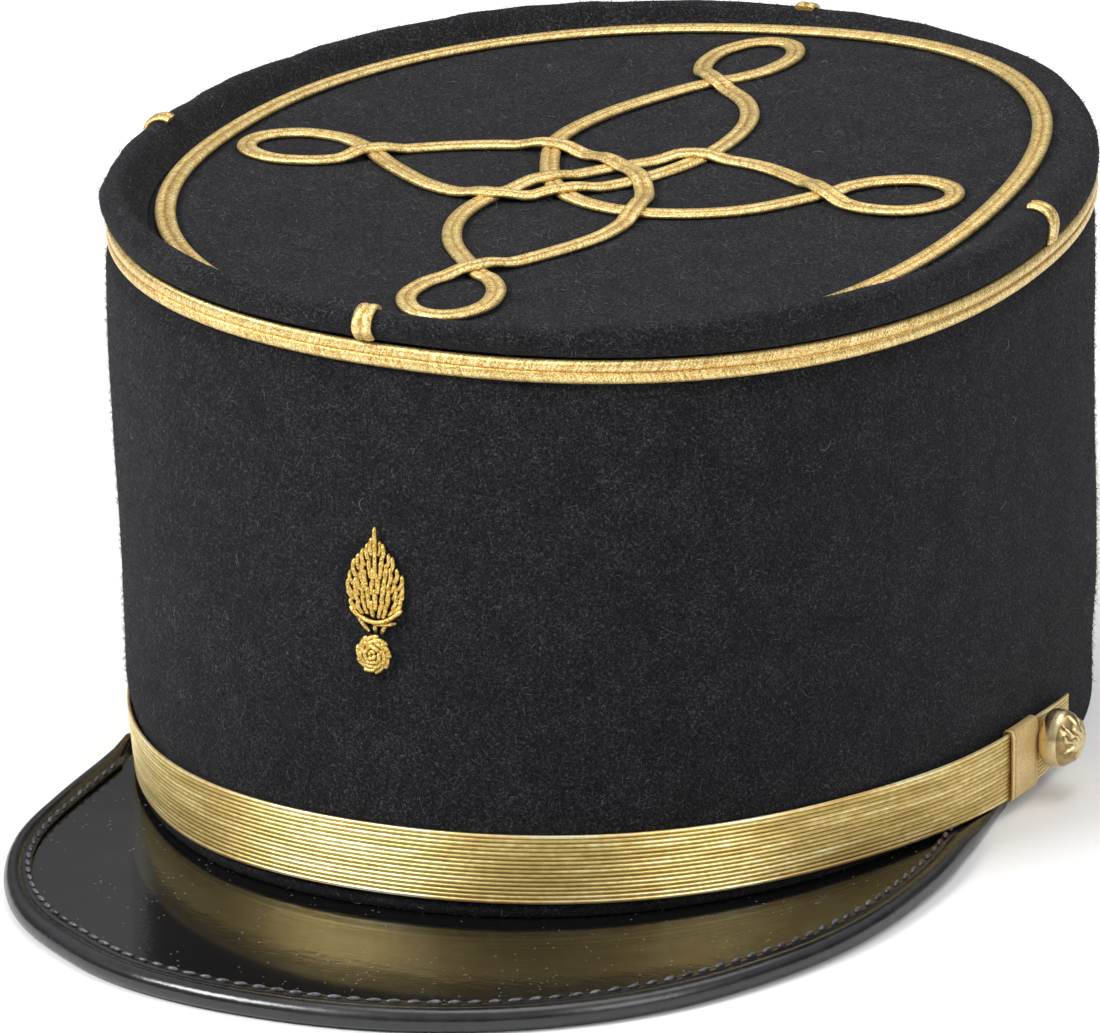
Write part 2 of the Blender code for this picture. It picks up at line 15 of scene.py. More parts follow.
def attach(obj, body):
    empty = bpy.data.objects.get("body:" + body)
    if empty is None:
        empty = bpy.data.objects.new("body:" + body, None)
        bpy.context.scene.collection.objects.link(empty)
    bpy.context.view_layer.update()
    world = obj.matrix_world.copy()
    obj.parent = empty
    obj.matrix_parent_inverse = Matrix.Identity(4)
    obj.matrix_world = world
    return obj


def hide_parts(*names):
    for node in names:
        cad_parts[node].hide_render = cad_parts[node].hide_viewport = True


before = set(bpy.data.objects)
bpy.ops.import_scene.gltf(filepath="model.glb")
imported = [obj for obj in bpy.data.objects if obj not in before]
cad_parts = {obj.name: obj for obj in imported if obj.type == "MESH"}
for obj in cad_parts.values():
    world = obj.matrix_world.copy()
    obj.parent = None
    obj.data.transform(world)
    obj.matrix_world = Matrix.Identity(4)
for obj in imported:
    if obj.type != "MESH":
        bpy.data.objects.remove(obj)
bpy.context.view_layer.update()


# --- Camera --------------------------------------------------------------------------------------
# A long lens looks down on the cap from its front left. The picture is 1100 x 1033, and the small
# shift is how the photograph is framed.
PICTURE_WIDTH = 1100
CAMERA_AZIMUTH = math.radians(24.162)
CAMERA_HEIGHT = math.radians(19.387)
CAMERA_ROLL = math.radians(-0.845)
CAMERA_DISTANCE = 1.8561
CAMERA_FOCUS_PIXELS = 10370.13
SENSOR_WIDTH = 36.0
CENTRE_OFFSET_PIXELS = (59.05, 67.14)  # how far right of and above the middle the lens points

CROWN_Y = 0.0226  # the crown's centre lies behind the middle of the whole cap
AIM = Vector((0.0, CROWN_Y, 0.0525))

right = Vector((math.cos(CAMERA_AZIMUTH), math.sin(CAMERA_AZIMUTH), 0.0))
back = Vector((math.sin(CAMERA_AZIMUTH) * math.cos(CAMERA_HEIGHT),
               -math.cos(CAMERA_AZIMUTH) * math.cos(CAMERA_HEIGHT), math.sin(CAMERA_HEIGHT)))
up = back.cross(right)
level_right = right * math.cos(CAMERA_ROLL) + up * math.sin(CAMERA_ROLL)
level_up = up * math.cos(CAMERA_ROLL) - right * math.sin(CAMERA_ROLL)


def put_in_scene(name, data):
    """An object of this name around a mesh, a lamp or a lens."""
    made = bpy.data.objects.new(name, data)
    bpy.context.scene.collection.objects.link(made)
    return made


lens = bpy.data.cameras.new("camera")
lens.sensor_width = SENSOR_WIDTH
lens.lens = CAMERA_FOCUS_PIXELS * SENSOR_WIDTH / PICTURE_WIDTH
lens.shift_x = -CENTRE_OFFSET_PIXELS[0] / PICTURE_WIDTH
lens.shift_y = -CENTRE_OFFSET_PIXELS[1] / PICTURE_WIDTH
camera = put_in_scene("camera", lens)
turned = Matrix((level_right, level_up, back)).transposed().to_4x4()
camera.matrix_world = Matrix.Translation(AIM + back * CAMERA_DISTANCE) @ turned
bpy.context.scene.camera = camera


# --- Floor and studio light -----------------------------------------------------------------------
# Pale paper on the table, a soft box over the left shoulder of the camera, a smaller one on the
# right, a wide one overhead, and a dim room that is brighter towards its ceiling.
def add(tree, kind, sockets=None, **settings):
    """Add a node to a tree; sockets maps its inputs to values or to the outputs that feed them."""
    made = tree.nodes.new(kind)
    for name, value in settings.items():
        setattr(made, name, value)
    for key, value in (sockets or {}).items():
        if isinstance(value, bpy.types.NodeSocket):
            tree.links.new(value, made.inputs[key])
        else:
            made.inputs[key].default_value = value
    return made


def ramp(tree, value, *stops):
    """Colour ramp of (place, colour) stops."""
    made = add(tree, "ShaderNodeValToRGB", {"Fac": value})
    elements = made.color_ramp.elements
    while len(elements) < len(stops):
        elements.new(1.0)
    for element, (place, colour) in zip(elements, stops):
        element.position = place
        element.color = (*colour, 1.0)
    return made.outputs["Color"]


def new_material(name, roughness=0.5, metallic=0.0, **constants):
    """A material with its Principled shader; constants are set on the shader's own sockets."""
    made = bpy.data.materials.new(name)
    made.use_nodes = True
    tree = made.node_tree
    shader = tree.nodes["Principled BSDF"]
    shader.inputs["Roughness"].default_value = roughness
    shader.inputs["Metallic"].default_value = metallic
    for key, value in constants.items():
        shader.inputs[key.replace("_", " ").title().replace("Ior", "IOR")].default_value = value
    return made, tree, shader


def new_object(name, vertices, edges=(), faces=()):
    """An object around a new mesh."""
    mesh = bpy.data.meshes.new(name)
    mesh.from_pydata(vertices, edges, faces)
    return put_in_scene(name, mesh)


FLOOR_HALF = 3.0
corners = [(x * FLOOR_HALF, y * FLOOR_HALF, 0.0) for x, y in ((-1, -1), (1, -1), (1, 1), (-1, 1))]
floor = new_object("paper", corners, faces=[(0, 1, 2, 3)])
paper, tree, shader = new_material("paper", roughness=0.9, base_color=(0.86, 0.86, 0.86, 1.0))
floor.data.materials.append(paper)

room = bpy.data.worlds.new("room")
room.use_nodes = True
tree = room.node_tree
direction = add(tree, "ShaderNodeTexCoord").outputs["Generated"]
height = add(tree, "ShaderNodeSeparateXYZ", {0: direction}).outputs["Z"]
tree.links.new(ramp(tree, height, (0.0, (0.10, 0.10, 0.10)), (0.30, (0.16, 0.16, 0.16)),
                    (0.55, (0.60, 0.60, 0.61)), (1.0, (0.70, 0.70, 0.70))),
               tree.nodes["Background"].inputs["Color"])
tree.nodes["Background"].inputs["Strength"].default_value = 0.9
bpy.context.scene.world = room
bpy.context.scene.view_settings.view_transform = "Standard"

SoftBox = namedtuple("SoftBox", "name place width height watts")
SOFT_BOXES = (
    SoftBox("main_box", (-0.90, -1.05, 1.20), 0.80, 0.60, 33.0),
    SoftBox("side_box", (1.30, -0.55, 0.85), 0.50, 0.80, 9.0),
    SoftBox("top_box", (0.10, 0.40, 1.60), 1.20, 1.20, 12.0),
)
for box in SOFT_BOXES:
    light = bpy.data.lights.new(box.name, "AREA")
    light.shape = "RECTANGLE"
    light.size, light.size_y = box.width, box.height
    light.energy = box.watts
    lamp = put_in_scene(box.name, light)
    lamp.location = box.place
    lamp.rotation_euler = (AIM - Vector(box.place)).to_track_quat("-Z", "Y").to_euler()


# --- Crown wall -----------------------------------------------------------------------------------
# One band of thick milled wool felt, shaped over a block. It tapers to the front and back, and its
# top edge is rolled inwards over a soft cord, so the flat top lies a little way down inside the rim.
Oval = namedtuple("Oval", "half_width half_length power centre_y")
BASE_OVAL = Oval(0.0815, 0.1044, 2.11, 0.0011)
RING_OVAL = Oval(0.0826, 0.0938, 2.19, 0.0)
CREST_OVAL = Oval(0.0820, 0.0932, 2.19, -0.0010)
TOP_BRAID_OVAL = Oval(0.0738, 0.0852, 2.22, 0.0008)
Level = namedtuple("Level", "mean back left saddle twist")
RING_LEVEL = Level(0.1011, 0.0013, -0.0019, -0.0008, 0.0)
CREST_LEVEL = Level(0.1055, 0.0004, -0.0005, -0.0004, 0.0009)
TOP_LEVEL = Level(0.1038, 0.0025, 0.0015, 0.0008, 0.0015)
UPWARD = Vector((0.0, 0.0, 1.0))
FELT_THICK = 0.0025
RIM_ROOM = 0.0026
RIM_RADIUS = 0.0026
RIM_SHOULDER_OUT = 0.0015
RIM_FOOT_IN = 0.0059  # the inner slope runs out on the top this far inside the crest
RIM_COVER = 0.0014  # under the rim the top's edge lies at least this far below the rim's upper side
Swell = namedtuple("Swell", "degrees spread extra")  # a soft bump round the crown, and how much it adds
RIM_SWELLS = (Swell(-42.0, 26.0, 0.0015), Swell(-130.0, 22.0, 0.0012))
RIM_FALL = ((0.26, 0.90), (0.50, 0.62), (0.74, 0.25), (1.0, 0.0))  # share of the way in, of the drop
RIM_START_RISE = 0.0007  # the rim's outer line starts this far above the groove
GROOVE_RISE = 0.0023  # the groove under the rim lies this far above the ring of braid
RING_EASE = 0.0005  # rounds the ring's line where the rim comes down to it
GAP = 0.0003  # room between two pieces that are sewn together
NORMAL_STEP = 0.02  # turn to each side over which an oval's direction is read
WALL_COLUMNS = 320
WALL_ROWS = 56
CROWN_LIFT = 0.0031  # the crown's edge stands on the peak's plate in front
LIFT_END_LEFT_Y = -0.0080  # and comes down to the table behind the binding's end on each side
LIFT_END_RIGHT_Y = -0.0385
LIFT_RUN = 0.0060
STRAP_PULL = 0.0018  # the chin strap draws the felt in this much at the wearer's right temple
STRAP_PULL_FADE = (0.13, 0.205)  # and lets it out over this share of the wall's height
STRAP_PULL_SIDE = (0.3, 0.9)  # it comes on over this share of the half width
FULL_BASE = 0.0001  # how far the felt stands out past the blocked shape at its foot on the right
FULL_RIGHT = 0.0015  # under the ring of braid on the right
FULL_LEFT = 0.0008  # and on the left
FULL_LEFT_ANGLE = math.radians(30)
FULL_LEFT_SIDE = (-0.2, 0.9)
FULL_RIGHT_RISE = (0.30, 0.85)  # shares of the wall's height over which it comes and goes
FULL_LEFT_RISE = (0.10, 0.25)
FULL_END = (0.925, 0.95)
WALL_SWELL = 0.00022  # how uneven the felt is
TOP_SWELL = 0.00025
SWELLS_PER_METRE = 28.0
PUCKERS_PER_METRE = 95.0
PUCKER_SHARE = 0.45
EVEN_EDGE = 1.0 / 6.0  # it is even at the foot and under the ring, over this share of the wall
RIM_UNEVEN = ((130.0, 0.00028), (45.0, 0.0002))  # dents per metre, and how deep
RIM_STEPS = 4  # sections between two points of the rim's line
RIM_DENTS_FROM = 0.002  # the rim has its full dents this far above the groove
RIM_NAP_FROM = 0.0004
NAP_STOPS = 0.95  # share of the wall's height where the ring of braid covers the nap
INNER_ROWS = 8


def smooth_step(low, high, value):
    share = min(max((value - low) / (high - low), 0.0), 1.0)
    return share * share * (3.0 - 2.0 * share)


def powered(value, exponent):
    """Power of a number that keeps its sign."""
    return math.copysign(abs(value) ** exponent, value)


def oval_point(oval, angle):
    """Point of a plan oval about the crown's centre: angle 0 is the wearer's left, -90 the front."""
    exponent = 2.0 / oval.power
    return Vector((oval.half_width * powered(math.cos(angle), exponent),
                   oval.centre_y + oval.half_length * powered(math.sin(angle), exponent), 0.0))


def oval_normal(oval, angle):
    along = oval_point(oval, angle + NORMAL_STEP) - oval_point(oval, angle - NORMAL_STEP)
    return Vector((along.y, -along.x, 0.0)).normalized()


def oval_angle(oval, x):
    """Angle on the front half where a plan oval passes x."""
    return -math.acos(powered(x / oval.half_width, oval.power / 2.0))


def edge_height(level, angle):
    return (level.mean + level.back * math.sin(angle) + level.left * math.cos(angle)
            + level.saddle * math.cos(2 * angle) + level.twist * math.sin(2 * angle))


def top_height(point):
    """Height of the sunk top over a plan point about the crown's centre."""
    across = point.x / TOP_BRAID_OVAL.half_width
    along = (point.y - TOP_BRAID_OVAL.centre_y) / TOP_BRAID_OVAL.half_length
    return (TOP_LEVEL.mean + TOP_LEVEL.back * along + TOP_LEVEL.left * across
            + TOP_LEVEL.saddle * (across * across - along * along)
            + TOP_LEVEL.twist * 2 * across * along)


def ring_height(angle):
    crest = edge_height(CREST_LEVEL, angle)
    room_below = crest - edge_height(RING_LEVEL, angle)
    return crest - (room_below + RIM_ROOM + math.hypot(room_below - RIM_ROOM, RING_EASE)) / 2


def groove_height(angle):
    """Where the wall turns out into the rim, just above the ring of braid."""
    return ring_height(angle) + GROOVE_RISE


def wall_normal(angle, height):
    share = height / groove_height(angle)
    return oval_normal(BASE_OVAL, angle).lerp(oval_normal(RING_OVAL, angle), share).normalized()


def wall_point(angle, height, out=0.0):
    share = height / groove_height(angle)
    point = oval_point(BASE_OVAL, angle).lerp(oval_point(RING_OVAL, angle), share)
    point.z = height
    return point + wall_normal(angle, height) * out


def drawn_in(angle, height):
    """How far the tight chin strap draws the wall in, on the wearer's right."""
    low = 1.0 - smooth_step(*STRAP_PULL_FADE, height / groove_height(angle))
    return STRAP_PULL * low * smooth_step(*STRAP_PULL_SIDE, -math.cos(angle))


def fullness(angle, height):
    """How far the felt's face stands out past the blocked shape: it is fullest under the ring of
    braid on the wearer's right, and the braid's stitches and the chin strap draw it in."""
    share = height / groove_height(angle)
    left = smooth_step(*FULL_LEFT_SIDE, math.cos(angle - FULL_LEFT_ANGLE))
    right = FULL_BASE + FULL_RIGHT * smooth_step(*FULL_RIGHT_RISE, share)
    full = right + (FULL_LEFT * smooth_step(*FULL_LEFT_RISE, share) - right) * left
    return full * (1.0 - smooth_step(*FULL_END, share)) - drawn_in(angle, height)


def felt_face(angle, height, out=0.0):
    return wall_point(angle, height, out + fullness(angle, height))


def crown_foot(angle):
    point = oval_point(BASE_OVAL, angle)
    end_y = LIFT_END_LEFT_Y if point.x > 0 else LIFT_END_RIGHT_Y
    return CROWN_LIFT * (1.0 - smooth_step(end_y, end_y + LIFT_RUN, point.y))


def hidden_height(angle, point):
    """Height of the top where its edge runs in under the rim."""
    return min(top_height(point), edge_height(CREST_LEVEL, angle) + RIM_RADIUS - RIM_COVER)


def swell_at(angle, swells):
    """What the soft bumps of a table add at an angle."""
    total = 0.0
    for swell in swells:
        away = (math.degrees(angle) - swell.degrees + 180.0) % 360.0 - 180.0
        total += swell.extra * math.exp(-(away / swell.spread) ** 2)
    return total


def rim_line(angle):
    """The rim's outer line from the shoulder over the roll to its inner foot: (plan way in, height)."""
    crest = oval_point(CREST_OVAL, angle)
    inward = -oval_normal(CREST_OVAL, angle)
    crest_height = edge_height(CREST_LEVEL, angle) + swell_at(angle, RIM_SWELLS)
    foot = top_height(crest + inward * RIM_FOOT_IN) + GAP / 3
    wall = wall_point(angle, groove_height(angle), RIM_SHOULDER_OUT)
    shoulder = min(groove_height(angle) + RIM_START_RISE, crest_height - GAP)
    line = [((wall - crest).dot(inward), shoulder)]
    for degrees in (0, 45, 90):
        turn = math.radians(degrees)
        line.append((-RIM_RADIUS * math.cos(turn), crest_height + RIM_RADIUS * math.sin(turn)))
    drop = crest_height + RIM_RADIUS - foot
    return line + [(RIM_FOOT_IN * way_in, foot + drop * share) for way_in, share in RIM_FALL]


def rim_point(angle, inward, height):
    point = oval_point(CREST_OVAL, angle) - oval_normal(CREST_OVAL, angle) * inward
    point.z = height
    return point


def through(points, steps):
    """Smooth line through points, with so many steps between two of them."""
    points = [Vector(p) for p in points]
    line = []
    for i in range(len(points) - 1):
        a, b = points[max(i - 1, 0)], points[i]
        c, d = points[i + 1], points[min(i + 2, len(points) - 1)]
        for step in range(steps):
            t = step / steps
            line.append(0.5 * (2 * b + (c - a) * t + (2 * a - 5 * b + 4 * c - d) * t * t
                               + (3 * b - a - 3 * c + d) * t ** 3))
    return [*line, points[-1]]


def skin(name, sections, closed=True, caps=False):
    """Mesh object over sections of equally many points, each section a closed ring."""
    count = len(sections[0])
    vertices = [point for section in sections for point in section]
    faces = []
    for j in range(len(sections) if closed else len(sections) - 1):
        this, after = j * count, (j + 1) % len(sections) * count
        for i in range(count):
            k = (i + 1) % count
            faces.append((this + i, this + k, after + k, after + i))
    if caps:
        faces.append(tuple(range(count)))
        faces.append(tuple(reversed(range((len(sections) - 1) * count, len(sections) * count))))
    made = new_object(name, [(v[0], v[1] + CROWN_Y, v[2]) for v in vertices], faces=faces)
    tidy_normals(made)
    return made


def tidy_normals(made):
    """Turn the faces of a closed piece outwards and shade it smooth."""
    bm = bmesh.new()
    bm.from_mesh(made.data)
    bmesh.ops.recalc_face_normals(bm, faces=bm.faces)
    bm.to_mesh(made.data)
    bm.free()
    made.data.shade_smooth()


def finish_piece(made, look, slot, *nodes):
    """Give a piece its material and its body, and hide the CAD nodes that it stands for. The slot is
    not used.
    """
    made.data.materials.clear()
    made.data.materials.append(look)
    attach(made, "root")
    if nodes:
        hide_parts(*nodes)
    return made


def cloth_swell(point, size):
    """Small unevenness of the felt as a distance out from its face."""
    broad = noise.noise(Vector(point) * SWELLS_PER_METRE)
    fine = noise.noise(Vector(point) * PUCKERS_PER_METRE + Vector((7.0, 3.0, 1.0)))
    return size * (broad + PUCKER_SHARE * fine)


def crown_section(angle):
    """The wall cut through: outer face up, over the rim, and down the inner face. With its nap."""
    foot, groove = crown_foot(angle), groove_height(angle)
    section, nap = [], []
    for row in range(WALL_ROWS):
        share = row / WALL_ROWS
        height = foot + (groove - foot) * share
        swell = cloth_swell(wall_point(angle, height), WALL_SWELL)
        swell *= min(1.0, share / EVEN_EDGE, (1.0 - share) / EVEN_EDGE)
        section.append(felt_face(angle, height, swell))
        nap.append(1.0 if share < NAP_STOPS else 0.0)
    outward = oval_normal(CREST_OVAL, angle)
    start = (oval_point(CREST_OVAL, angle) - felt_face(angle, groove)).dot(outward)
    line = [(start, groove, 0.0), *((inward, height, 0.0) for inward, height in rim_line(angle))]
    for inward, height, _ in through(line, RIM_STEPS):
        point = rim_point(angle, inward, height)
        dent = sum(noise.noise(point * scale) * depth for scale, depth in RIM_UNEVEN)
        dent *= smooth_step(groove, groove + RIM_DENTS_FROM, height)
        section.append(point + (UPWARD + outward) * dent)
        nap.append(1.0 if height > groove + RIM_NAP_FROM else 0.0)
    under = wall_point(angle, groove, -FELT_THICK)
    under.z = hidden_height(angle, under) + GAP
    section.append(under)
    nap.append(0.0)
    for row in range(1, INNER_ROWS + 1):
        height = under.z + (foot - under.z) * row / INNER_ROWS
        section.append(wall_point(angle, height, -FELT_THICK))
        nap.append(0.0)
    return section, nap


def mark(made, name, values):
    """Keep one number for each vertex of a piece."""
    made.data.attributes.new(name, "FLOAT", "POINT").data.foreach_set("value", values)


def maths(tree, operation, a, b=0.0):
    return add(tree, "ShaderNodeMath", {0: a, 1: b}, operation=operation).outputs[0]


def weighted(tree, *terms):
    """Sum of (value, weight) terms."""
    values = [value if weight == 1.0 else maths(tree, "MULTIPLY", value, weight)
              for value, weight in terms]
    total = values[0]
    for value in values[1:]:
        total = maths(tree, "ADD", total, value)
    return total


def object_place(tree):
    return add(tree, "ShaderNodeTexCoord").outputs["Object"]


def mottle(tree, place, scale, detail=2.0, roughness=0.5, distortion=0.0, dimensions="3D"):
    """Soft random pattern from 0 to 1."""
    return add(tree, "ShaderNodeTexNoise", {"Vector": place, "Scale": scale, "Detail": detail,
                                            "Roughness": roughness, "Distortion": distortion},
               noise_dimensions=dimensions).outputs["Fac"]


def dye(tree, shader, value, *stops):
    """Colour a shader by a ramp over a value."""
    tree.links.new(ramp(tree, value, *stops), shader.inputs["Base Color"])


def emboss(tree, shader, height, strength, distance, over=None):
    """Relief on a shader, over another relief where one is given."""
    sockets = {"Height": height, "Strength": strength, "Distance": distance}
    if over:
        sockets["Normal"] = over
    normal = add(tree, "ShaderNodeBump", sockets).outputs["Normal"]
    tree.links.new(normal, shader.inputs["Normal"])
    return normal


felt, tree, shader = new_material("felt", roughness=0.95, specular_ior_level=0.12, sheen_weight=0.05,
                                  sheen_roughness=0.5, sheen_tint=(0.66, 0.64, 0.70, 1.0))
place = object_place(tree)
grain = mottle(tree, place, 2300.0, detail=4.0, roughness=0.7, distortion=1.0)
hairs = mottle(tree, place, 1000.0, detail=6.0, roughness=0.7, distortion=3.5)
clumps = mottle(tree, place, 150.0, detail=4.0, roughness=0.6)
tone = weighted(tree, (grain, 0.52), (hairs, 0.40), (clumps, 0.08))
dye(tree, shader, tone, (0.40, (0.0020, 0.0020, 0.0024)), (0.48, (0.0068, 0.0066, 0.0078)),
    (0.54, (0.0190, 0.0185, 0.0205)), (0.62, (0.0900, 0.0880, 0.0930)))
emboss(tree, shader, tone, 0.9, 0.0007)

NAP_CLEAR = 0.0011  # the pile is worn away this near to the table
felt_angles = [2 * math.pi * i / WALL_COLUMNS for i in range(WALL_COLUMNS)]
cut = [crown_section(angle) for angle in felt_angles]
crown_wall = skin("crown_wall", [section for section, _ in cut])
mark(crown_wall, "nap", [share * smooth_step(NAP_CLEAR, 2 * NAP_CLEAR, point.z)
                         for section, nap in cut for point, share in zip(section, nap)])
finish_piece(crown_wall, felt, "felt", "crown_side")


# --- Sunk top -------------------------------------------------------------------------------------
# A separate disc of the same felt, whose edge runs in under the rolled rim. It sags a little in
# front and is slightly twisted, as a soft top is.
TOP_RINGS = 44
TOP_EVEN_RINGS = 5  # the felt is even towards its edge over so many rings
TOP_HIDDEN_RINGS = 2  # of which so many lie under the rim


def crown_top_mesh():
    centre = Vector((0.0, TOP_BRAID_OVAL.centre_y, 0.0))
    edge = [wall_point(a, groove_height(a), -FELT_THICK - GAP) for a in felt_angles]
    vertices, faces = [], []
    for drop in (0.0, FELT_THICK):
        for ring in range(TOP_RINGS):
            for angle, rim in zip(felt_angles, edge):
                plan = centre.lerp(Vector((rim.x, rim.y, 0.0)), 1.0 - ring / TOP_RINGS)
                even = min(1.0, ring / TOP_EVEN_RINGS)
                rise = 0.0 if drop else cloth_swell(plan, TOP_SWELL) * even
                hidden = ring < TOP_HIDDEN_RINGS
                face = hidden_height(angle, plan) if hidden else top_height(plan)
                vertices.append((plan.x, plan.y + CROWN_Y, face - drop + rise))
        vertices.append((centre.x, centre.y + CROWN_Y, top_height(centre) - drop))
    layer = TOP_RINGS * WALL_COLUMNS + 1
    for first in (0, layer):
        for ring in range(TOP_RINGS):
            for i in range(WALL_COLUMNS):
                a = first + ring * WALL_COLUMNS + i
                b = first + ring * WALL_COLUMNS + (i + 1) % WALL_COLUMNS
                if ring < TOP_RINGS - 1:
                    faces.append((a, b, b + WALL_COLUMNS, a + WALL_COLUMNS))
                else:
                    faces.append((a, b, first + layer - 1))
    for i in range(WALL_COLUMNS):
        k = (i + 1) % WALL_COLUMNS
        faces.append((i, k, layer + k, layer + i))
    return vertices, faces


vertices, faces = crown_top_mesh()
crown_top = new_object("crown_top_felt", vertices, faces=faces)
tidy_normals(crown_top)
half = len(vertices) // 2
mark(crown_top, "nap", [1.0] * half + [0.0] * half)
finish_piece(crown_top, felt, "felt", "crown_top")


# --- Nap ------------------------------------------------------------------------------------------
# Loose ends of wool that stand off the felt, short and thick on the ground, and a few long pale hairs
# and bits of lint that have settled on it.
def new_tree(name, *sockets):
    """Geometry node tree with a geometry in and out and the given named inputs."""
    tree = bpy.data.node_groups.new(name, "GeometryNodeTree")
    tree.interface.new_socket("Geometry", in_out="INPUT", socket_type="NodeSocketGeometry")
    for label, kind in sockets:
        tree.interface.new_socket(label, in_out="INPUT", socket_type=f"NodeSocket{kind}")
    tree.interface.new_socket("Geometry", in_out="OUTPUT", socket_type="NodeSocketGeometry")
    return tree, add(tree, "NodeGroupInput").outputs, add(tree, "NodeGroupOutput").inputs


def grow(source, name, tree, **values):
    """Run a node tree over an object with named inputs, and keep the result as a plain mesh."""
    modifier = source.modifiers.new(name, "NODES")
    modifier.node_group = tree
    for item in tree.interface.items_tree:
        if item.in_out == "INPUT" and item.name.replace(" ", "_").lower() in values:
            modifier[item.identifier] = values[item.name.replace(" ", "_").lower()]
    bpy.context.view_layer.update()
    evaluated = source.evaluated_get(bpy.context.evaluated_depsgraph_get())
    mesh = bpy.data.meshes.new_from_object(evaluated)
    mesh.name = name
    source.modifiers.remove(modifier)
    return put_in_scene(name, mesh)


def random_value(tree, low, high, seed, vector=False):
    made = add(tree, "FunctionNodeRandomValue", data_type="FLOAT_VECTOR" if vector else "FLOAT")
    first = 0 if vector else 2
    made.inputs[first].default_value = low
    made.inputs[first + 1].default_value = high
    made.inputs["Seed"].default_value = seed
    return made.outputs[0 if vector else 1]


def named(tree, name, kind="FLOAT"):
    """What a mesh keeps under a name, inside a geometry tree."""
    return add(tree, "GeometryNodeInputNamedAttribute", {"Name": name}, data_type=kind).outputs[0]


def keep(tree, geometry, name, value, domain="POINT"):
    """Keep a value on the geometry under a name."""
    return add(tree, "GeometryNodeStoreNamedAttribute", {"Geometry": geometry, "Name": name,
                                                         "Value": value}, domain=domain).outputs[0]


def dress(tree, geometry, given, result, smooth=False):
    """End of a tree: real geometry with its material."""
    made = add(tree, "GeometryNodeRealizeInstances", {0: geometry}).outputs[0]
    if smooth:
        made = add(tree, "GeometryNodeSetShadeSmooth", {"Geometry": made}).outputs[0]
    made = add(tree, "GeometryNodeSetMaterial", {"Geometry": made, "Material": given["Material"]})
    tree.links.new(made.outputs[0], result["Geometry"])


Strew = namedtuple("Strew", "lean_low lean_high lean_seed size_low size_high size_seed tone_seed")


def strewn_tree(name, shape, strew):
    """Strands of one shape strewn over a piece where its nap stands, each leaning its own way."""
    tree, given, result = new_tree(name, ("Density", "Float"), ("Length", "Float"),
                                   ("Thickness", "Float"), ("Seed", "Int"), ("Material", "Material"))
    scatter = add(tree, "GeometryNodeDistributePointsOnFaces", {
        "Mesh": given["Geometry"], "Seed": given["Seed"],
        "Density": maths(tree, "MULTIPLY", named(tree, "nap"), given["Density"])})
    lean = random_value(tree, strew.lean_low, strew.lean_high, strew.lean_seed, vector=True)
    lean = add(tree, "FunctionNodeEulerToRotation", {0: lean}).outputs[0]
    turn = add(tree, "FunctionNodeRotateRotation", {0: scatter.outputs["Rotation"], 1: lean},
               rotation_space="LOCAL").outputs[0]
    strands = add(tree, "GeometryNodeInstanceOnPoints", {
        "Points": scatter.outputs["Points"], "Instance": shape(tree, given), "Rotation": turn,
        "Scale": random_value(tree, strew.size_low, strew.size_high, strew.size_seed, vector=True)})
    toned = keep(tree, strands.outputs[0], "tone", random_value(tree, 0.0, 1.0, strew.tone_seed),
                 "INSTANCE")
    dress(tree, toned, given, result)
    return tree


def standing_hair(tree, given):
    """A straight end of wool, thick at its root."""
    return add(tree, "GeometryNodeMeshCone", {
        "Vertices": 3, "Side Segments": 1, "Fill Segments": 1, "Radius Top": 0.0,
        "Radius Bottom": given["Thickness"], "Depth": given["Length"]}).outputs["Mesh"]


def bent_hair(tree, given):
    """A long hair that lies in a loose bow."""
    parts = {}
    for place, share in (("Start", (-0.50, 0.0, 0.0)), ("Middle", (0.0, 0.477, 0.159)),
                         ("End", (0.4545, 0.0, 0.0227))):
        spot = add(tree, "ShaderNodeVectorMath", {0: share}, operation="SCALE")
        tree.links.new(given["Length"], spot.inputs["Scale"])
        parts[place] = spot.outputs[0]
    bow = add(tree, "GeometryNodeCurveQuadraticBezier", {"Resolution": 7, **parts}).outputs[0]
    section = add(tree, "GeometryNodeCurvePrimitiveCircle", {"Resolution": 4,
                                                             "Radius": given["Thickness"]}).outputs[0]
    return add(tree, "GeometryNodeCurveToMesh", {"Curve": bow, "Profile Curve": section,
                                                 "Fill Caps": True}).outputs[0]


def marked(tree, name):
    """The number that a piece keeps at each vertex, inside a material."""
    return add(tree, "ShaderNodeAttribute", attribute_name=name).outputs["Fac"]


wool, tree, shader = new_material("wool_nap", roughness=0.8, specular_ior_level=0.25)
dye(tree, shader, marked(tree, "tone"), (0.0, (0.006, 0.006, 0.007)), (0.50, (0.022, 0.021, 0.024)),
    (0.80, (0.052, 0.051, 0.056)), (0.96, (0.125, 0.125, 0.13)))
pale_lint, tree, shader = new_material("pale_lint", roughness=0.7)
dye(tree, shader, marked(tree, "tone"), (0.0, (0.03, 0.03, 0.033)), (0.75, (0.12, 0.12, 0.125)),
    (1.0, (0.36, 0.36, 0.37)))
standing_nap = strewn_tree("standing_nap", standing_hair, Strew(
    lean_low=(0.75, 0.0, 0.0), lean_high=(1.62, 0.0, 2 * math.pi), lean_seed=3,
    size_low=(0.8, 0.8, 0.35), size_high=(1.3, 1.3, 1.25), size_seed=9, tone_seed=21))
settled_lint = strewn_tree("settled_lint", bent_hair, Strew(
    lean_low=(-0.25, -0.25, 0.0), lean_high=(0.25, 0.25, 2 * math.pi), lean_seed=31,
    size_low=(0.06, 0.06, 0.4), size_high=(0.75, 0.80, 1.0), size_seed=33, tone_seed=35))

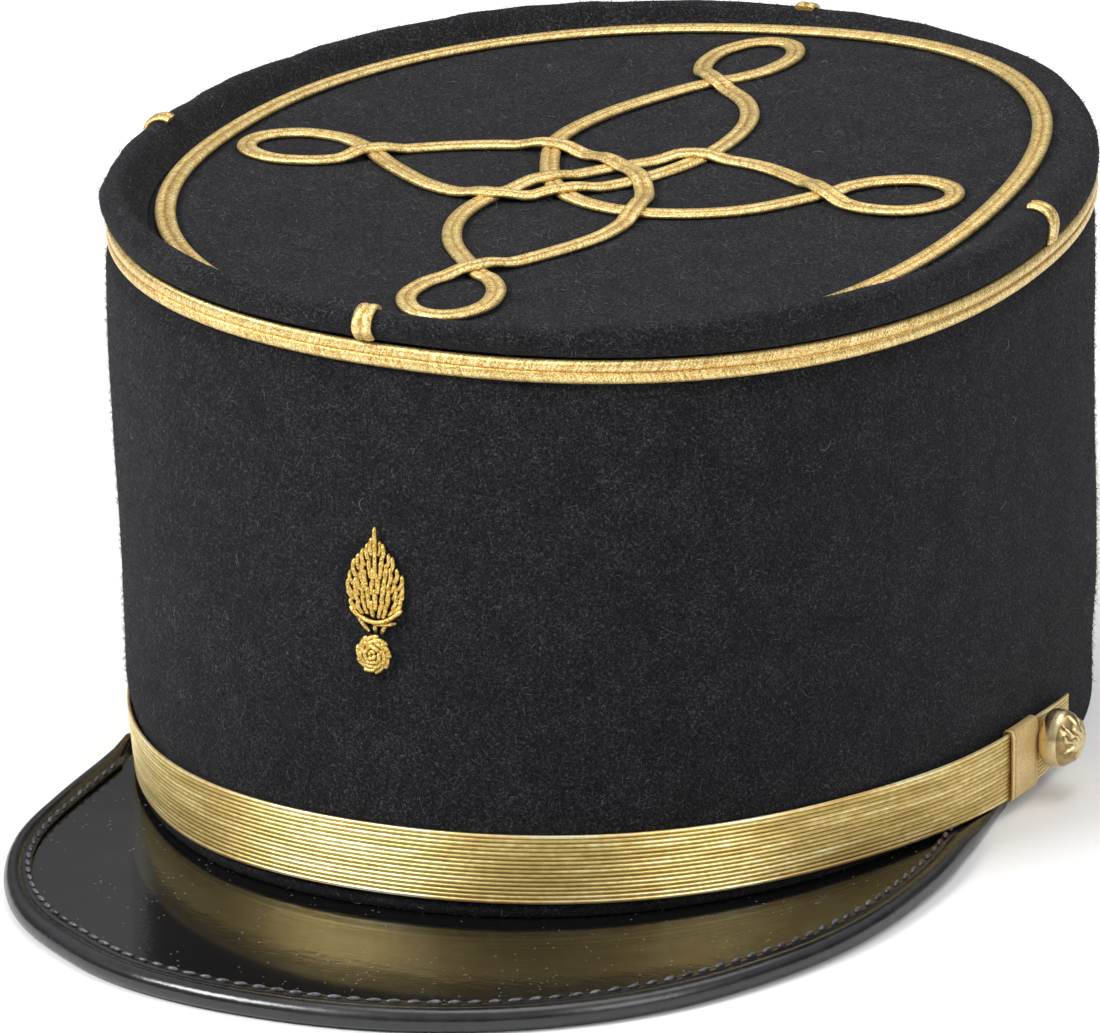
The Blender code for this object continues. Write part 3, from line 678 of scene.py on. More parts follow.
Strands = namedtuple("Strands", "name source tree look per_m2 length thickness seed")
for strands in (
        Strands("crown_wall_nap", crown_wall, standing_nap, wool, 6.4e5, 0.0014, 0.000045, 11),
        Strands("crown_top_nap", crown_top, standing_nap, wool, 8.0e5, 0.0014, 0.000045, 12),
        Strands("crown_wall_lint", crown_wall, settled_lint, pale_lint, 0.5e4, 0.0044, 0.00003, 41),
        Strands("crown_top_lint", crown_top, settled_lint, pale_lint, 0.4e4, 0.0044, 0.00003, 42)):
    made = grow(strands.source, strands.name, strands.tree, density=strands.per_m2,
                length=strands.length, thickness=strands.thickness, seed=strands.seed,
                material=strands.look)
    finish_piece(made, strands.look, "felt")


# --- Ring of braid --------------------------------------------------------------------------------
# Soutache: two round cores side by side, wound over with gilt thread on opposite slants, so it has a
# groove down the middle. It is sewn round the crown where the wall turns out into the rim.
def vector(tree, x=0.0, y=0.0, z=0.0):
    return add(tree, "ShaderNodeCombineXYZ", {0: x, 1: y, 2: z}).outputs[0]


def wave(tree, phase):
    """Row of rounded humps from 0 to 1, one for each whole step of the phase."""
    return maths(tree, "ABSOLUTE", maths(tree, "SINE", maths(tree, "MULTIPLY", phase, math.pi)))


def winding_phase(tree, given, along, around, hand):
    """Turns of thread wound on so far, at a point of a cord; hand is 1 or -1 for the slant."""
    slanted = maths(tree, "MULTIPLY", maths(tree, "MULTIPLY", around, given["Slant"]), hand)
    return maths(tree, "ADD", maths(tree, "DIVIDE", along, given["Pitch"]), slanted)


def cord_tree():
    """Round wound cords side by side along a line, resting on the surface that the line follows."""
    tree, given, result = new_tree(
        "laid_cords", ("Cords", "Int"), ("Spacing", "Float"), ("Radius", "Float"),
        ("Flatness", "Float"), ("Sides", "Int"), ("Step", "Float"), ("Pitch", "Float"),
        ("Slant", "Float"), ("Depth", "Float"), ("Material", "Material"))

    line = add(tree, "GeometryNodeMeshToCurve", {"Mesh": given["Geometry"]}).outputs[0]
    even = add(tree, "GeometryNodeResampleCurve", {"Curve": line}, mode="LENGTH")
    tree.links.new(given["Step"], even.inputs["Length"])
    stood = add(tree, "GeometryNodeSetCurveNormal", {"Curve": even.outputs[0]}, mode="FREE")
    tree.links.new(named(tree, "up", "FLOAT_VECTOR"), stood.inputs["Normal"])
    path = keep(tree, stood.outputs[0], "along",
                add(tree, "GeometryNodeSplineParameter").outputs["Length"])

    ring = add(tree, "GeometryNodeCurvePrimitiveCircle", {"Resolution": given["Sides"],
                                                          "Radius": given["Radius"]}).outputs[0]
    ring = keep(tree, ring, "around", add(tree, "GeometryNodeSplineParameter").outputs["Factor"])
    rest_height = vector(tree, maths(tree, "MULTIPLY", given["Flatness"], given["Radius"]))
    ring = add(tree, "GeometryNodeTransform", {
        "Geometry": ring, "Translation": rest_height, "Rotation": (0.0, 0.0, math.pi),
        "Scale": vector(tree, given["Flatness"], 1.0, 1.0)}).outputs[0]
    reach = maths(tree, "MULTIPLY", maths(tree, "SUBTRACT", given["Cords"], 1.0), given["Spacing"])
    row = add(tree, "GeometryNodeMeshLine", {
        "Count": given["Cords"], "Offset": vector(tree, 0.0, given["Spacing"]),
        "Start Location": vector(tree, 0.0, maths(tree, "MULTIPLY", reach, -0.5))}).outputs[0]
    rings = add(tree, "GeometryNodeInstanceOnPoints", {"Points": row, "Instance": ring}).outputs[0]
    rings = keep(tree, rings, "cord", add(tree, "GeometryNodeInputIndex").outputs[0], "INSTANCE")
    rings = add(tree, "GeometryNodeRealizeInstances", {0: rings}).outputs[0]

    swept = add(tree, "GeometryNodeCurveToMesh", {"Curve": path, "Profile Curve": rings,
                                                  "Fill Caps": True,
                                                  "Scale": named(tree, "thick")}).outputs[0]
    hand = maths(tree, "SUBTRACT", 1.0, maths(
        tree, "MULTIPLY", maths(tree, "MODULO", named(tree, "cord"), 2.0), 2.0))
    swell = wave(tree, winding_phase(tree, given, named(tree, "along"), named(tree, "around"), hand))
    swell = maths(tree, "MULTIPLY", maths(tree, "SUBTRACT", swell, 0.6), given["Depth"])
    out = add(tree, "ShaderNodeVectorMath", {
        0: add(tree, "GeometryNodeInputNormal").outputs[0]}, operation="SCALE")
    tree.links.new(swell, out.inputs["Scale"])
    moved = add(tree, "GeometryNodeSetPosition", {"Geometry": swept, "Offset": out.outputs[0]})
    dress(tree, moved.outputs[0], given, result)
    return tree


laid_cords = cord_tree()
Line = namedtuple("Line", "points ups closed thicks")


def lay_cords(name, lines, **values):
    """Cords along lines about the crown's centre. A line has points, the way up at each, and whether
    it is closed; thicks scales the cord at each point."""
    vertices, edges, ups, thicks = [], [], [], []
    for line in lines:
        first = len(vertices)
        vertices += [(p[0], p[1] + CROWN_Y, p[2]) for p in line.points]
        ups += [tuple(u) for u in line.ups]
        thicks += line.thicks or [1.0] * len(line.points)
        edges += [(i, i + 1) for i in range(first, len(vertices) - 1)]
        if line.closed:
            edges.append((len(vertices) - 1, first))
    guide = new_object(name + "_guide", vertices, edges)
    guide.data.attributes.new("up", "FLOAT_VECTOR", "POINT").data.foreach_set(
        "vector", [value for u in ups for value in u])
    mark(guide, "thick", thicks)
    made = grow(guide, name, laid_cords, **values)
    bpy.data.objects.remove(guide)
    tidy_normals(made)
    return made


def winding_group():
    """Gilt thread wound round a cord: the height and tone of each turn, and the groove beside it, which
    takes painted shade.
    """
    tree = bpy.data.node_groups.new("gilt_winding", "ShaderNodeTree")
    for label, value in (("Pitch", 0.001), ("Slant", 1.0), ("Threads", 4.0)):
        socket = tree.interface.new_socket(label, in_out="INPUT", socket_type="NodeSocketFloat")
        socket.default_value = value
    for label in ("Height", "Tone", "Groove"):
        tree.interface.new_socket(label, in_out="OUTPUT", socket_type="NodeSocketFloat")
    given = add(tree, "NodeGroupInput").outputs
    result = add(tree, "NodeGroupOutput").inputs
    along, around, cord = (marked(tree, name) for name in ("along", "around", "cord"))
    odd = maths(tree, "MODULO", maths(tree, "ADD", cord, 0.01), 2.0)
    hand = maths(tree, "SUBTRACT", 1.0, maths(tree, "MULTIPLY", maths(tree, "ROUND", odd), 2.0))
    threads = maths(tree, "MULTIPLY", winding_phase(tree, given, along, around, hand),
                    given["Threads"])
    turn = add(tree, "ShaderNodeTexWhiteNoise", {
        "Vector": vector(tree, maths(tree, "FLOOR", threads), cord)}, noise_dimensions="2D")
    uneven = mottle(tree, object_place(tree), 3600.0)
    patchy = mottle(tree, object_place(tree), 520.0)
    tree.links.new(weighted(tree, (wave(tree, threads), 0.5), (uneven, 0.8)), result["Height"])
    tree.links.new(weighted(tree, (turn.outputs["Value"], 0.12), (uneven, 0.76), (patchy, 0.12)),
                   result["Tone"])
    # The inner side of each cord, along the groove between the two, is where the material paints shade.
    inner = weighted(tree, (maths(tree, "SUBTRACT", around, 0.5), 1.0), (hand, -0.25))
    tree.links.new(maths(tree, "COSINE", maths(tree, "MULTIPLY", inner, 2 * math.pi)),
                   result["Groove"])
    return tree


gilt_winding = winding_group()


def mixed_colour(tree, shader, share, first, second, blend="MIX"):
    """Colour a shader by two colours laid over each other."""
    mixed = add(tree, "ShaderNodeMix", {0: share, 6: first, 7: second}, data_type="RGBA",
                blend_type=blend)
    tree.links.new(mixed.outputs[2], shader.inputs["Base Color"])


def gilt_cord(name, pitch, slant, threads, colours, groove_colour, groove_from, roughness, relief):
    """Cord wound with gilt thread; colours run from the deep threads to the brightest, and the groove
    between cords gets painted shade.
    """
    made, tree, shader = new_material(name, roughness=roughness, metallic=GILT_METALLIC)
    winding = add(tree, "ShaderNodeGroup", node_tree=gilt_winding)
    for label, value in (("Pitch", pitch), ("Slant", slant), ("Threads", threads)):
        winding.inputs[label].default_value = value
    low, middle, high = colours
    gold = ramp(tree, winding.outputs["Tone"], (0.34, low), (0.48, middle), (0.64, high))
    depth = add(tree, "ShaderNodeMapRange", {"Value": winding.outputs["Groove"],
                                             "From Min": groove_from, "From Max": 0.95}).outputs[0]
    # Painted shade: along the groove between the cords the gold is multiplied by the groove's shade
    # colour.
    mixed_colour(tree, shader, depth, gold, (*groove_colour, 1.0), "MULTIPLY")
    emboss(tree, shader, winding.outputs["Height"], 0.9, relief)
    return made


GILT_METALLIC = 0.75  # gilt thread is silk with metal round it, so it isn't wholly metal
BRAID_PITCH = 0.0006  # from one ridge of the winding to the next
BRAID_SLANT = 5.0  # ridges that a thread passes on its way once round the cord
BRAID_COLOURS = ((0.34, 0.19, 0.040), (0.71, 0.495, 0.165), (1.0, 0.86, 0.46))
# The braid's groove colour below is painted shade in the groove between its cords.
gilt_braid = gilt_cord("gilt_braid", BRAID_PITCH, BRAID_SLANT, threads=2.0, colours=BRAID_COLOURS,
                       groove_colour=(0.84, 0.64, 0.38), groove_from=0.30, roughness=0.36,
                       relief=0.00008)
BRAID = dict(cords=2, spacing=0.00190, radius=0.00118, flatness=0.60, sides=12, step=0.00030,
             pitch=BRAID_PITCH, slant=BRAID_SLANT, depth=0.00003, material=gilt_braid)
BRAID_STEPS = 480
ON_CLOTH = GAP * 0.3  # the braid is pressed this near to the felt

ring_angles = [math.pi / 2 + 2 * math.pi * i / BRAID_STEPS for i in range(BRAID_STEPS)]
ring_line = Line([wall_point(a, ring_height(a), ON_CLOTH) for a in ring_angles],
                 [wall_normal(a, ring_height(a)) for a in ring_angles], True, None)
ring_braid = lay_cords("ring_braid_cords", [ring_line], **BRAID)
finish_piece(ring_braid, gilt_braid, "gilt_braid", "ring_braid")


# --- Top braid ------------------------------------------------------------------------------------
# The same braid in a narrower size, laid in an oval on the sunk top. Its two ends butt together.
def up_from_top(point):
    """The way up from the sunk top over a plan point."""
    step = 0.001
    slope_x = (top_height(point + Vector((step, 0, 0))) - top_height(point)) / step
    slope_y = (top_height(point + Vector((0, step, 0))) - top_height(point)) / step
    return Vector((-slope_x, -slope_y, 1.0)).normalized()


def on_top(plan, lift=0.0):
    return Vector((plan.x, plan.y, top_height(plan) + ON_CLOTH + lift))


narrow_braid = dict(BRAID, radius=0.00106, spacing=0.00162)
plans = [oval_point(TOP_BRAID_OVAL, a) for a in ring_angles]
top_braid = lay_cords("top_braid_cords", [Line([on_top(p) for p in plans],
                                               [up_from_top(p) for p in plans], True, None)],
                      **narrow_braid)
finish_piece(top_braid, gilt_braid, "gilt_braid", "top_braid")


# --- Knot -----------------------------------------------------------------------------------------
# One length of braid worked into a four-lobed knot, a traditional rank ornament. It passes over and
# under itself where it crosses, and it is sewn down all along.
KnotArm = namedtuple("KnotArm", "tip neck half_width way_on")
KNOT_ARMS = (  # plan points in millimetres: the loop's tip, its neck, and the strand to the next neck
    KnotArm((-67.8, -4.6), (-44.2, -2.8), 7.6,
            ((-34.6, 4.4), (-23.1, 9.2), (-11.6, 9.8), (-0.6, 4.4), (8.4, -3.1), (13.2, -14.6),
             (13.0, -29.6), (5.4, -44.6))),
    KnotArm((0.8, -75.0), (-0.7, -52.9), 7.2,
            ((-10.6, -41.6), (-15.0, -28.6), (-13.2, -15.1), (-4.6, -2.6), (3.4, 5.9), (11.9, 12.0),
             (24.4, 11.0), (35.4, 5.4))),
    KnotArm((65.2, 4.0), (42.1, 0.2), 7.5,
            ((31.4, -11.6), (16.9, -17.2), (4.4, -16.0), (-5.1, -9.6), (-11.6, 1.9), (-15.8, 15.9),
             (-13.2, 31.4), (-6.6, 45.9))),
    KnotArm((0.0, 78.6), (-2.2, 52.8), 7.2,
            ((8.9, 42.9), (14.2, 30.0), (13.8, 13.9), (8.0, -0.6), (-1.1, -10.6), (-12.1, -17.5),
             (-25.1, -16.4), (-36.6, -9.1))),
)
LoopPoint = namedtuple("LoopPoint", "along across")
KNOT_LOOP = (  # shares of the way from neck to tip, and of the half width
    LoopPoint(0.16, 0.52),
    LoopPoint(0.38, 0.92),
    LoopPoint(0.68, 1.02),
    LoopPoint(0.92, 0.62),
)
NECK_OFFSET = 0.02  # the two strands of a neck meet this share of the loop apart
MILLIMETRE = 0.001
KNOT_STEPS = 7
CROSSING_LIFT = 0.0009
CROSSING_REACH = 0.0072  # the upper braid climbs over this distance each way
CROSSING_LEVEL = 0.25  # and lies level over this share of it
FARTHEST_STEP = 0.004  # two steps of the line that start further apart than this don't cross


def knot_loop(arm, side):
    """One side of an arm's loop, as plan points from the neck to the tip."""
    neck, tip = (Vector((*place, 0.0)) * MILLIMETRE for place in (arm.neck, arm.tip))
    along = tip - neck
    across = Vector((-along.y, along.x, 0.0)).normalized() * arm.half_width * MILLIMETRE * side
    return [neck + along * NECK_OFFSET * side,
            *(neck + along * p.along + across * p.across for p in KNOT_LOOP), tip]


def knot_plan():
    """The knot's closed centre line as plan points: four quarters, each from tip to tip."""
    corners = []
    for arm, following in zip(KNOT_ARMS, (*KNOT_ARMS[1:], KNOT_ARMS[0])):
        corners += list(reversed(knot_loop(arm, 1.0)))
        corners += [Vector((x, y, 0.0)) * MILLIMETRE for x, y in arm.way_on]
        corners += knot_loop(following, -1.0)[:-1]
    ring = [*corners[-1:], *corners, *corners[:2]]
    return through(ring, KNOT_STEPS)[KNOT_STEPS:-KNOT_STEPS - 1]


def crossings(line):
    """Pairs of places, in steps along the line, where the closed line crosses itself."""
    found, count = [], len(line)
    for i in range(count):
        a, r = line[i], line[(i + 1) % count] - line[i]
        for j in range(i + 2, count if i else count - 1):
            c = line[j]
            if max(abs(c.x - a.x), abs(c.y - a.y)) > FARTHEST_STEP:
                continue
            s, w = line[(j + 1) % count] - c, c - a
            cross = r.x * s.y - r.y * s.x
            if abs(cross) < 1e-12:
                continue
            t, u = (w.x * s.y - w.y * s.x) / cross, (w.x * r.y - w.y * r.x) / cross
            if 0 <= t < 1 and 0 <= u < 1:
                found.append((i + t, j + u))
    return found


def upper_place(line, first, second):
    """Which of two crossing places lies on top: at a loop the strand that comes from the middle, and
    in the middle the quarters in the order in which they were laid."""
    quarter = len(line) / 4
    if min(second - first, len(line) - (second - first)) < 0.5 * quarter:
        return first if second - first < len(line) / 2 else second
    rank = (3, 1, 0, 2) if line[int(first)].x < 0.0 else (3, 2, 0, 1)
    return max((first, second), key=lambda place: rank[int(place // quarter) % 4])


def crossing_lifts(line):
    """How far each point of the closed line is lifted, to pass over the braid that it crosses."""
    places, whole = [], 0.0
    for i, point in enumerate(line):
        places.append(whole)
        whole += (line[(i + 1) % len(line)] - point).length
    lifts = [0.0] * len(line)
    for first, second in crossings(line):
        over = places[int(upper_place(line, first, second)) % len(line)]
        for i, place in enumerate(places):
            away = min(abs(place - over), whole - abs(place - over))
            rise = 1.0 - smooth_step(CROSSING_REACH * CROSSING_LEVEL, CROSSING_REACH, away)
            lifts[i] = max(lifts[i], CROSSING_LIFT * rise)
    return lifts


knot_line = knot_plan()
knot = lay_cords("knot_braid_cords",
                 [Line([on_top(p, lift) for p, lift in zip(knot_line, crossing_lifts(knot_line))],
                       [up_from_top(p) for p in knot_line], True, None)],
                 **dict(narrow_braid, radius=0.00102, spacing=0.00154))
finish_piece(knot, gilt_braid, "gilt_braid", "knot_braid")


# --- Stubs over the rim ---------------------------------------------------------------------------
# Four short braids tie the ring to the top, one at each end and one at each side. Each starts at the
# ring, goes over the rolled rim and is tucked into the felt just inside it.
STUB_INSIDE = 0.0015
STUB_STEPS = 5
STUB_SINK = GAP * 0.5  # the braid presses this far into the soft rim
stub_braid = dict(narrow_braid, flatness=0.55)


def stub_line(angle):
    line = [(inward, height, 0.0) for inward, height in rim_line(angle)]
    line = [p for p in through(line, STUB_STEPS) if p[0] < STUB_INSIDE]
    outward = oval_normal(CREST_OVAL, angle)
    points, ups = [], []
    for i, (inward, height, _) in enumerate(line):
        before, after = line[max(i - 1, 0)], line[min(i + 1, len(line) - 1)]
        run = (after - before).normalized()
        way_up = outward * run.y + UPWARD * run.x if i else outward
        points.append(rim_point(angle, inward, height) - way_up * STUB_SINK)
        ups.append(way_up)
    return Line(points, ups, False, None)


for name, degrees in (("front", -91), ("left", 1), ("back", 90), ("right", 185)):
    stub = lay_cords(f"stub_{name}_cords", [stub_line(math.radians(degrees))], **stub_braid)
    finish_piece(stub, gilt_braid, "gilt_braid", f"stub_{name}")


# --- Front badge ----------------------------------------------------------------------------------
# A flame over a ball, the traditional figure, embroidered with short lengths of gilt bullion: fine
# coiled wire, each length sewn down at its ends. The lengths lie like feathers, fanned at the sides.
BADGE_X = 0.0006
FLAME_FOOT = 0.0541
FlameRow = namedtuple("FlameRow", "height half_width lengths fan")
FLAME_ROWS = (  # metres above the flame's foot, half width at the row's feet, and degrees of fan
    FlameRow(0.0006, 0.0034, 8, 42),
    FlameRow(0.0019, 0.0042, 9, 32),
    FlameRow(0.0032, 0.0044, 9, 24),
    FlameRow(0.0046, 0.0041, 8, 18),
    FlameRow(0.0059, 0.0036, 8, 14),
    FlameRow(0.0072, 0.0029, 7, 11),
    FlameRow(0.0084, 0.0020, 5, 9),
    FlameRow(0.0093, 0.0012, 3, 6),
    FlameRow(0.0102, 0.0005, 2, 3),
    FlameRow(0.0118, 0.0, 1, 2),
    FlameRow(0.0139, 0.0, 1, 0),
)
ROW_LIFT = 0.0014  # a row's outer lengths start this much higher than its middle ones
BULLION_LENGTH = 0.0030
BULLION_BOW = 0.12  # share of a length by which the outer ones bow outwards
BULLION_THIN_ENDS = 0.55
BULLION_STEPS = 3
LEAN_CHANCE = 5.0  # degrees either way, as a hand lays them
LENGTH_CHANCE = 0.12
SIDE_CHANCE = 0.00012
HEIGHT_CHANCE = 0.0003
OVERLAP_CHANCE = 0.00055  # some lie over others
COLLAR_X = (-0.0048, -0.0028, 0.0, 0.0027, 0.0053)  # a long length curves up round the flame's foot
COLLAR_CURVE = 96.0  # its rise for each metre squared from the middle
COLLAR_LIFT = 0.0007
TIE = ((-0.0020, 0.0003), (0.0008, -0.0004), (0.0040, 0.0001))  # a short one lies across the foot
TIE_LIFT = 0.0003
Stem = namedtuple("Stem", "top_x top_z foot_x foot_z")
STEMS = (Stem(-0.0038, 0.0548, -0.0013, 0.0521), Stem(-0.0002, 0.0540, 0.0, 0.0521),
         Stem(0.0022, 0.0541, 0.0011, 0.0519))
BALL_Z = 0.0485
BALL_RADIUS = 0.0036
BallRow = namedtuple("BallRow", "radius lengths arc_degrees")
BALL_ROWS = (BallRow(0.0030, 9, 60), BallRow(0.0023, 7, 70), BallRow(0.0015, 5, 90),
             BallRow(0.0006, 2, 170))
BALL_DOME = 0.0014  # how far the padded ball stands out
BALL_OVERLAP = 0.0002
BALL_TWIST = 900.0  # radians that a row is turned by for each metre of its radius
SPIRAL_START = 1.10  # each length starts this far out, in shares of its row's radius
SPIRAL_STEP = 0.09


def badge_line(plan, lift):
    """A length of bullion through (x, height) points on the front wall."""
    points, ups = [], []
    for x, z, _ in through([(x, z, 0.0) for x, z in plan], BULLION_STEPS):
        angle = oval_angle(RING_OVAL, x + BADGE_X)
        points.append(felt_face(angle, z, lift))
        ups.append(wall_normal(angle, z))
    thicks = [BULLION_THIN_ENDS, *[1.0] * (len(points) - 2), BULLION_THIN_ENDS]
    return Line(points, ups, False, thicks)


def fanned_length(row, number):
    """One length of bullion in a row of the flame."""
    share = 0.0 if row.lengths == 1 else 2.0 * number / (row.lengths - 1) - 1.0
    lean = math.radians(row.fan * share + chance.uniform(-LEAN_CHANCE, LEAN_CHANCE))
    length = BULLION_LENGTH * chance.uniform(1.0 - LENGTH_CHANCE, 1.0 + LENGTH_CHANCE)
    x = row.half_width * share + chance.uniform(-SIDE_CHANCE, SIDE_CHANCE)
    z = FLAME_FOOT + row.height + ROW_LIFT * share * share
    z += chance.uniform(-HEIGHT_CHANCE, HEIGHT_CHANCE)
    side, rise = length * math.sin(lean), length * math.cos(lean)
    middle = (x + 0.5 * side + BULLION_BOW * length * share, z + 0.5 * rise)
    tip = (x + length * math.sin(lean * 0.7), z + rise)
    return badge_line([(x, z), middle, tip], GAP + OVERLAP_CHANCE * chance.random())


def ball_length(row, number):
    """One length of bullion in a row of the ball: a piece of a spiral."""
    lift = GAP + BALL_DOME * math.sqrt(1.0 - (row.radius / BALL_RADIUS) ** 2)
    start = 2 * math.pi * number / row.lengths + row.radius * BALL_TWIST
    plan = []
    for step in range(4):
        turn = start + math.radians(row.arc_degrees) * step / 3
        radius = row.radius * (SPIRAL_START - SPIRAL_STEP * step)
        plan.append((radius * math.cos(turn), BALL_Z + radius * math.sin(turn)))
    return badge_line(plan, lift + BALL_OVERLAP * chance.random())


chance = random.Random(7)
flame = [fanned_length(row, number) for row in FLAME_ROWS for number in range(row.lengths)]
flame.append(badge_line([(x, FLAME_FOOT + COLLAR_CURVE * x * x) for x in COLLAR_X],
                        GAP + COLLAR_LIFT))
flame.append(badge_line([(x, FLAME_FOOT + rise) for x, rise in TIE], GAP + TIE_LIFT))
flame += [badge_line([(stem.top_x, stem.top_z), (stem.foot_x, stem.foot_z)], GAP) for stem in STEMS]
ball = [ball_length(row, number) for row in BALL_ROWS for number in range(row.lengths)]

BULLION_COLOURS = ((0.32, 0.155, 0.020), (0.63, 0.410, 0.078), (0.90, 0.73, 0.29))
BULLION_PITCH = 0.00032
gilt_bullion = gilt_cord("gilt_bullion", BULLION_PITCH, slant=0.5, threads=1.0,
                         colours=BULLION_COLOURS, groove_colour=(1.0, 1.0, 1.0), groove_from=0.15,
                         roughness=0.32, relief=0.00004)
BULLION = dict(cords=1, spacing=0.001, radius=0.00040, flatness=0.9, sides=8, step=0.00012,
               pitch=BULLION_PITCH, slant=1.0, depth=0.00004, material=gilt_bullion)
for name, lines, node in (("badge_flame_bullion", flame, "badge_flame"),
                          ("badge_ball_bullion", ball, "badge_ball")):
    finish_piece(lay_cords(name, lines, **BULLION), gilt_bullion, "gilt_embroidery", node)


# --- Peak plate -----------------------------------------------------------------------------------
# Board faced with black patent leather, flat and stiff, sewn in under the crown's front edge.
PEAK_CENTRE_X = 0.0057
PEAK_HALF_WIDTH = 0.0796
PEAK_CENTRE_Y = -0.0650
PEAK_LENGTH = 0.0857
PEAK_BACK_LENGTH = 0.1027
PEAK_POWER = 2.17
PEAK_SKEW = 0.067
PEAK_TOP = 0.0028
PEAK_BOTTOM = 0.0003
PEAK_TUCK = 0.0040
PEAK_END_ROOM = 0.0019  # the plate ends where the peak's edge is this far outside the crown
BINDING_END_ROOM = -0.0026  # and the binding where its outer edge is this far inside
BINDING_ROLL = 0.0021
Flare = namedtuple("Flare", "side start stop fade by_square")
FLARES = (  # the edge swings out at the temples: degrees from the front, metres per degree squared
    Flare(1, 109.0, 118.0, 5.0, 2.2e-5),
    Flare(-1, 86.5, 98.5, 5.0, 2.25e-5),
)
EDGE_SWELLS = (Swell(-171.0, 7.0, -0.0006), Swell(-122.0, 8.0, -0.0006),
               Swell(-26.0, 10.0, -0.0004), Swell(13.0, 4.0, -0.0003))
PEAK_SECTIONS = 260
EDGE_STEP = 0.002  # turn by which the edge is followed back to where it ends
EDGE_NORMAL_STEP = 0.01
FINE_STEPS = 8  # for each even step along the edge


def edge_swell(turn):
    """How far the cut edge stands outside its even outline."""
    swell = swell_at(turn, EDGE_SWELLS)
    for flare in FLARES:
        away = (math.degrees(turn) + 90.0) * flare.side
        swing = flare.by_square * max(away - flare.start, 0.0) ** 2
        swell += swing * (1.0 - smooth_step(flare.stop, flare.stop + flare.fade, away))
    return swell


def peak_edge(turn, inset=0.0):
    """Plan point of the peak's outer edge: turn -90 degrees is the front middle."""
    def at(angle):
        length = PEAK_LENGTH if math.sin(angle) < 0 else PEAK_BACK_LENGTH
        across = PEAK_HALF_WIDTH * powered(math.cos(angle), 2.0 / PEAK_POWER)
        along = length * powered(math.sin(angle), 2.0 / PEAK_POWER)
        return Vector((PEAK_CENTRE_X + across + PEAK_SKEW * along, PEAK_CENTRE_Y + along, 0.0))

    along = at(turn + EDGE_NORMAL_STEP) - at(turn - EDGE_NORMAL_STEP)
    outward = Vector((along.y, -along.x, 0.0)).normalized()
    return at(turn) + outward * (edge_swell(turn) - inset)


def base_angle(point):
    """Angle on the crown's lower edge beside a plan point."""
    return math.atan2((point.y - BASE_OVAL.centre_y) / BASE_OVAL.half_length,
                      point.x / BASE_OVAL.half_width)


def base_inside(point, inset):
    """The way in from a point of the peak to a line inset from the crown's lower edge."""
    angle = base_angle(point)
    return oval_point(BASE_OVAL, angle) - oval_normal(BASE_OVAL, angle) * inset


def edge_room(point):
    """How far a plan point stands outside the crown's lower edge."""
    return (point - base_inside(point, 0.0)).dot(oval_normal(BASE_OVAL, base_angle(point)))


def temple_turn(side, room):
    """Turn at which the peak's edge, followed back on one side, has come this near to the crown."""
    turn = -math.pi / 2
    while edge_room(peak_edge(turn)) > room:
        turn += EDGE_STEP * side
    return turn


def peak_turns(end_room, steps):
    """Turns at even steps along the peak's edge, from the wearer's right temple to the left."""
    start, stop = temple_turn(-1, end_room), temple_turn(1, end_room)
    count = steps * FINE_STEPS
    fine = [start + (stop - start) * i / count for i in range(count + 1)]
    run = [0.0]
    for turn, after in zip(fine, fine[1:]):
        run.append(run[-1] + (peak_edge(after) - peak_edge(turn)).length)
    turns, i = [], 0
    for step in range(steps):
        while run[i + 1] <= run[-1] * step / steps:
            i += 1
        turns.append(fine[i] + (fine[i + 1] - fine[i])
                     * (run[-1] * step / steps - run[i]) / (run[i + 1] - run[i]))
    return [*turns, stop]


def vary_gloss(tree, shader, value, rough_from, rough_to, low=0.0, high=1.0):
    """Let a shader's roughness follow a value that runs from low to high."""
    rough = add(tree, "ShaderNodeMapRange", {"Value": value, "From Min": low, "From Max": high,
                                             "To Min": rough_from, "To Max": rough_to})
    tree.links.new(rough.outputs[0], shader.inputs["Roughness"])


DISH_REACH = 0.042  # the plate rises towards the crown, as an even curve over this distance
DISH_DEPTH = 0.0044
patent, tree, shader = new_material("patent_leather", roughness=0.15, specular_ior_level=0.55,
                                    coat_weight=0.25, coat_roughness=0.08)
place = object_place(tree)
brushed = add(tree, "ShaderNodeMapping", {"Vector": place, "Scale": (0.22, 1.0, 1.0)}).outputs[0]
ripple = mottle(tree, place, 240.0, detail=3.0, roughness=0.6)
skin_height = weighted(tree, (mottle(tree, place, 45.0, detail=1.0), 1.0), (ripple, 0.25),
                       (mottle(tree, brushed, 1300.0), 0.08))
ripples = emboss(tree, shader, skin_height, 0.35, 0.00060)
dish = maths(tree, "EXPONENT", maths(tree, "MULTIPLY", marked(tree, "reach"), -1.0 / DISH_REACH))
emboss(tree, shader, dish, 1.0, DISH_DEPTH, over=ripples)
dust = add(tree, "ShaderNodeTexVoronoi", {"Vector": place, "Scale": 640.0}).outputs["Distance"]
speck = maths(tree, "MULTIPLY", maths(tree, "LESS_THAN", dust, 0.13),
              maths(tree, "GREATER_THAN", mottle(tree, place, 130.0), 0.50))
dye(tree, shader, speck, (0.0, (0.004, 0.004, 0.0042)), (1.0, (0.10, 0.10, 0.10)))
vary_gloss(tree, shader, speck, 0.15, 0.6)

PLATE_STEPS_ABOVE = 20  # steps from the plate's outer edge to its inner one
PLATE_STEPS_BELOW = 4


def plate_line(start, stop, height, steps):
    return [start.lerp(stop, i / steps) + Vector((0, 0, height)) for i in range(steps + 1)]


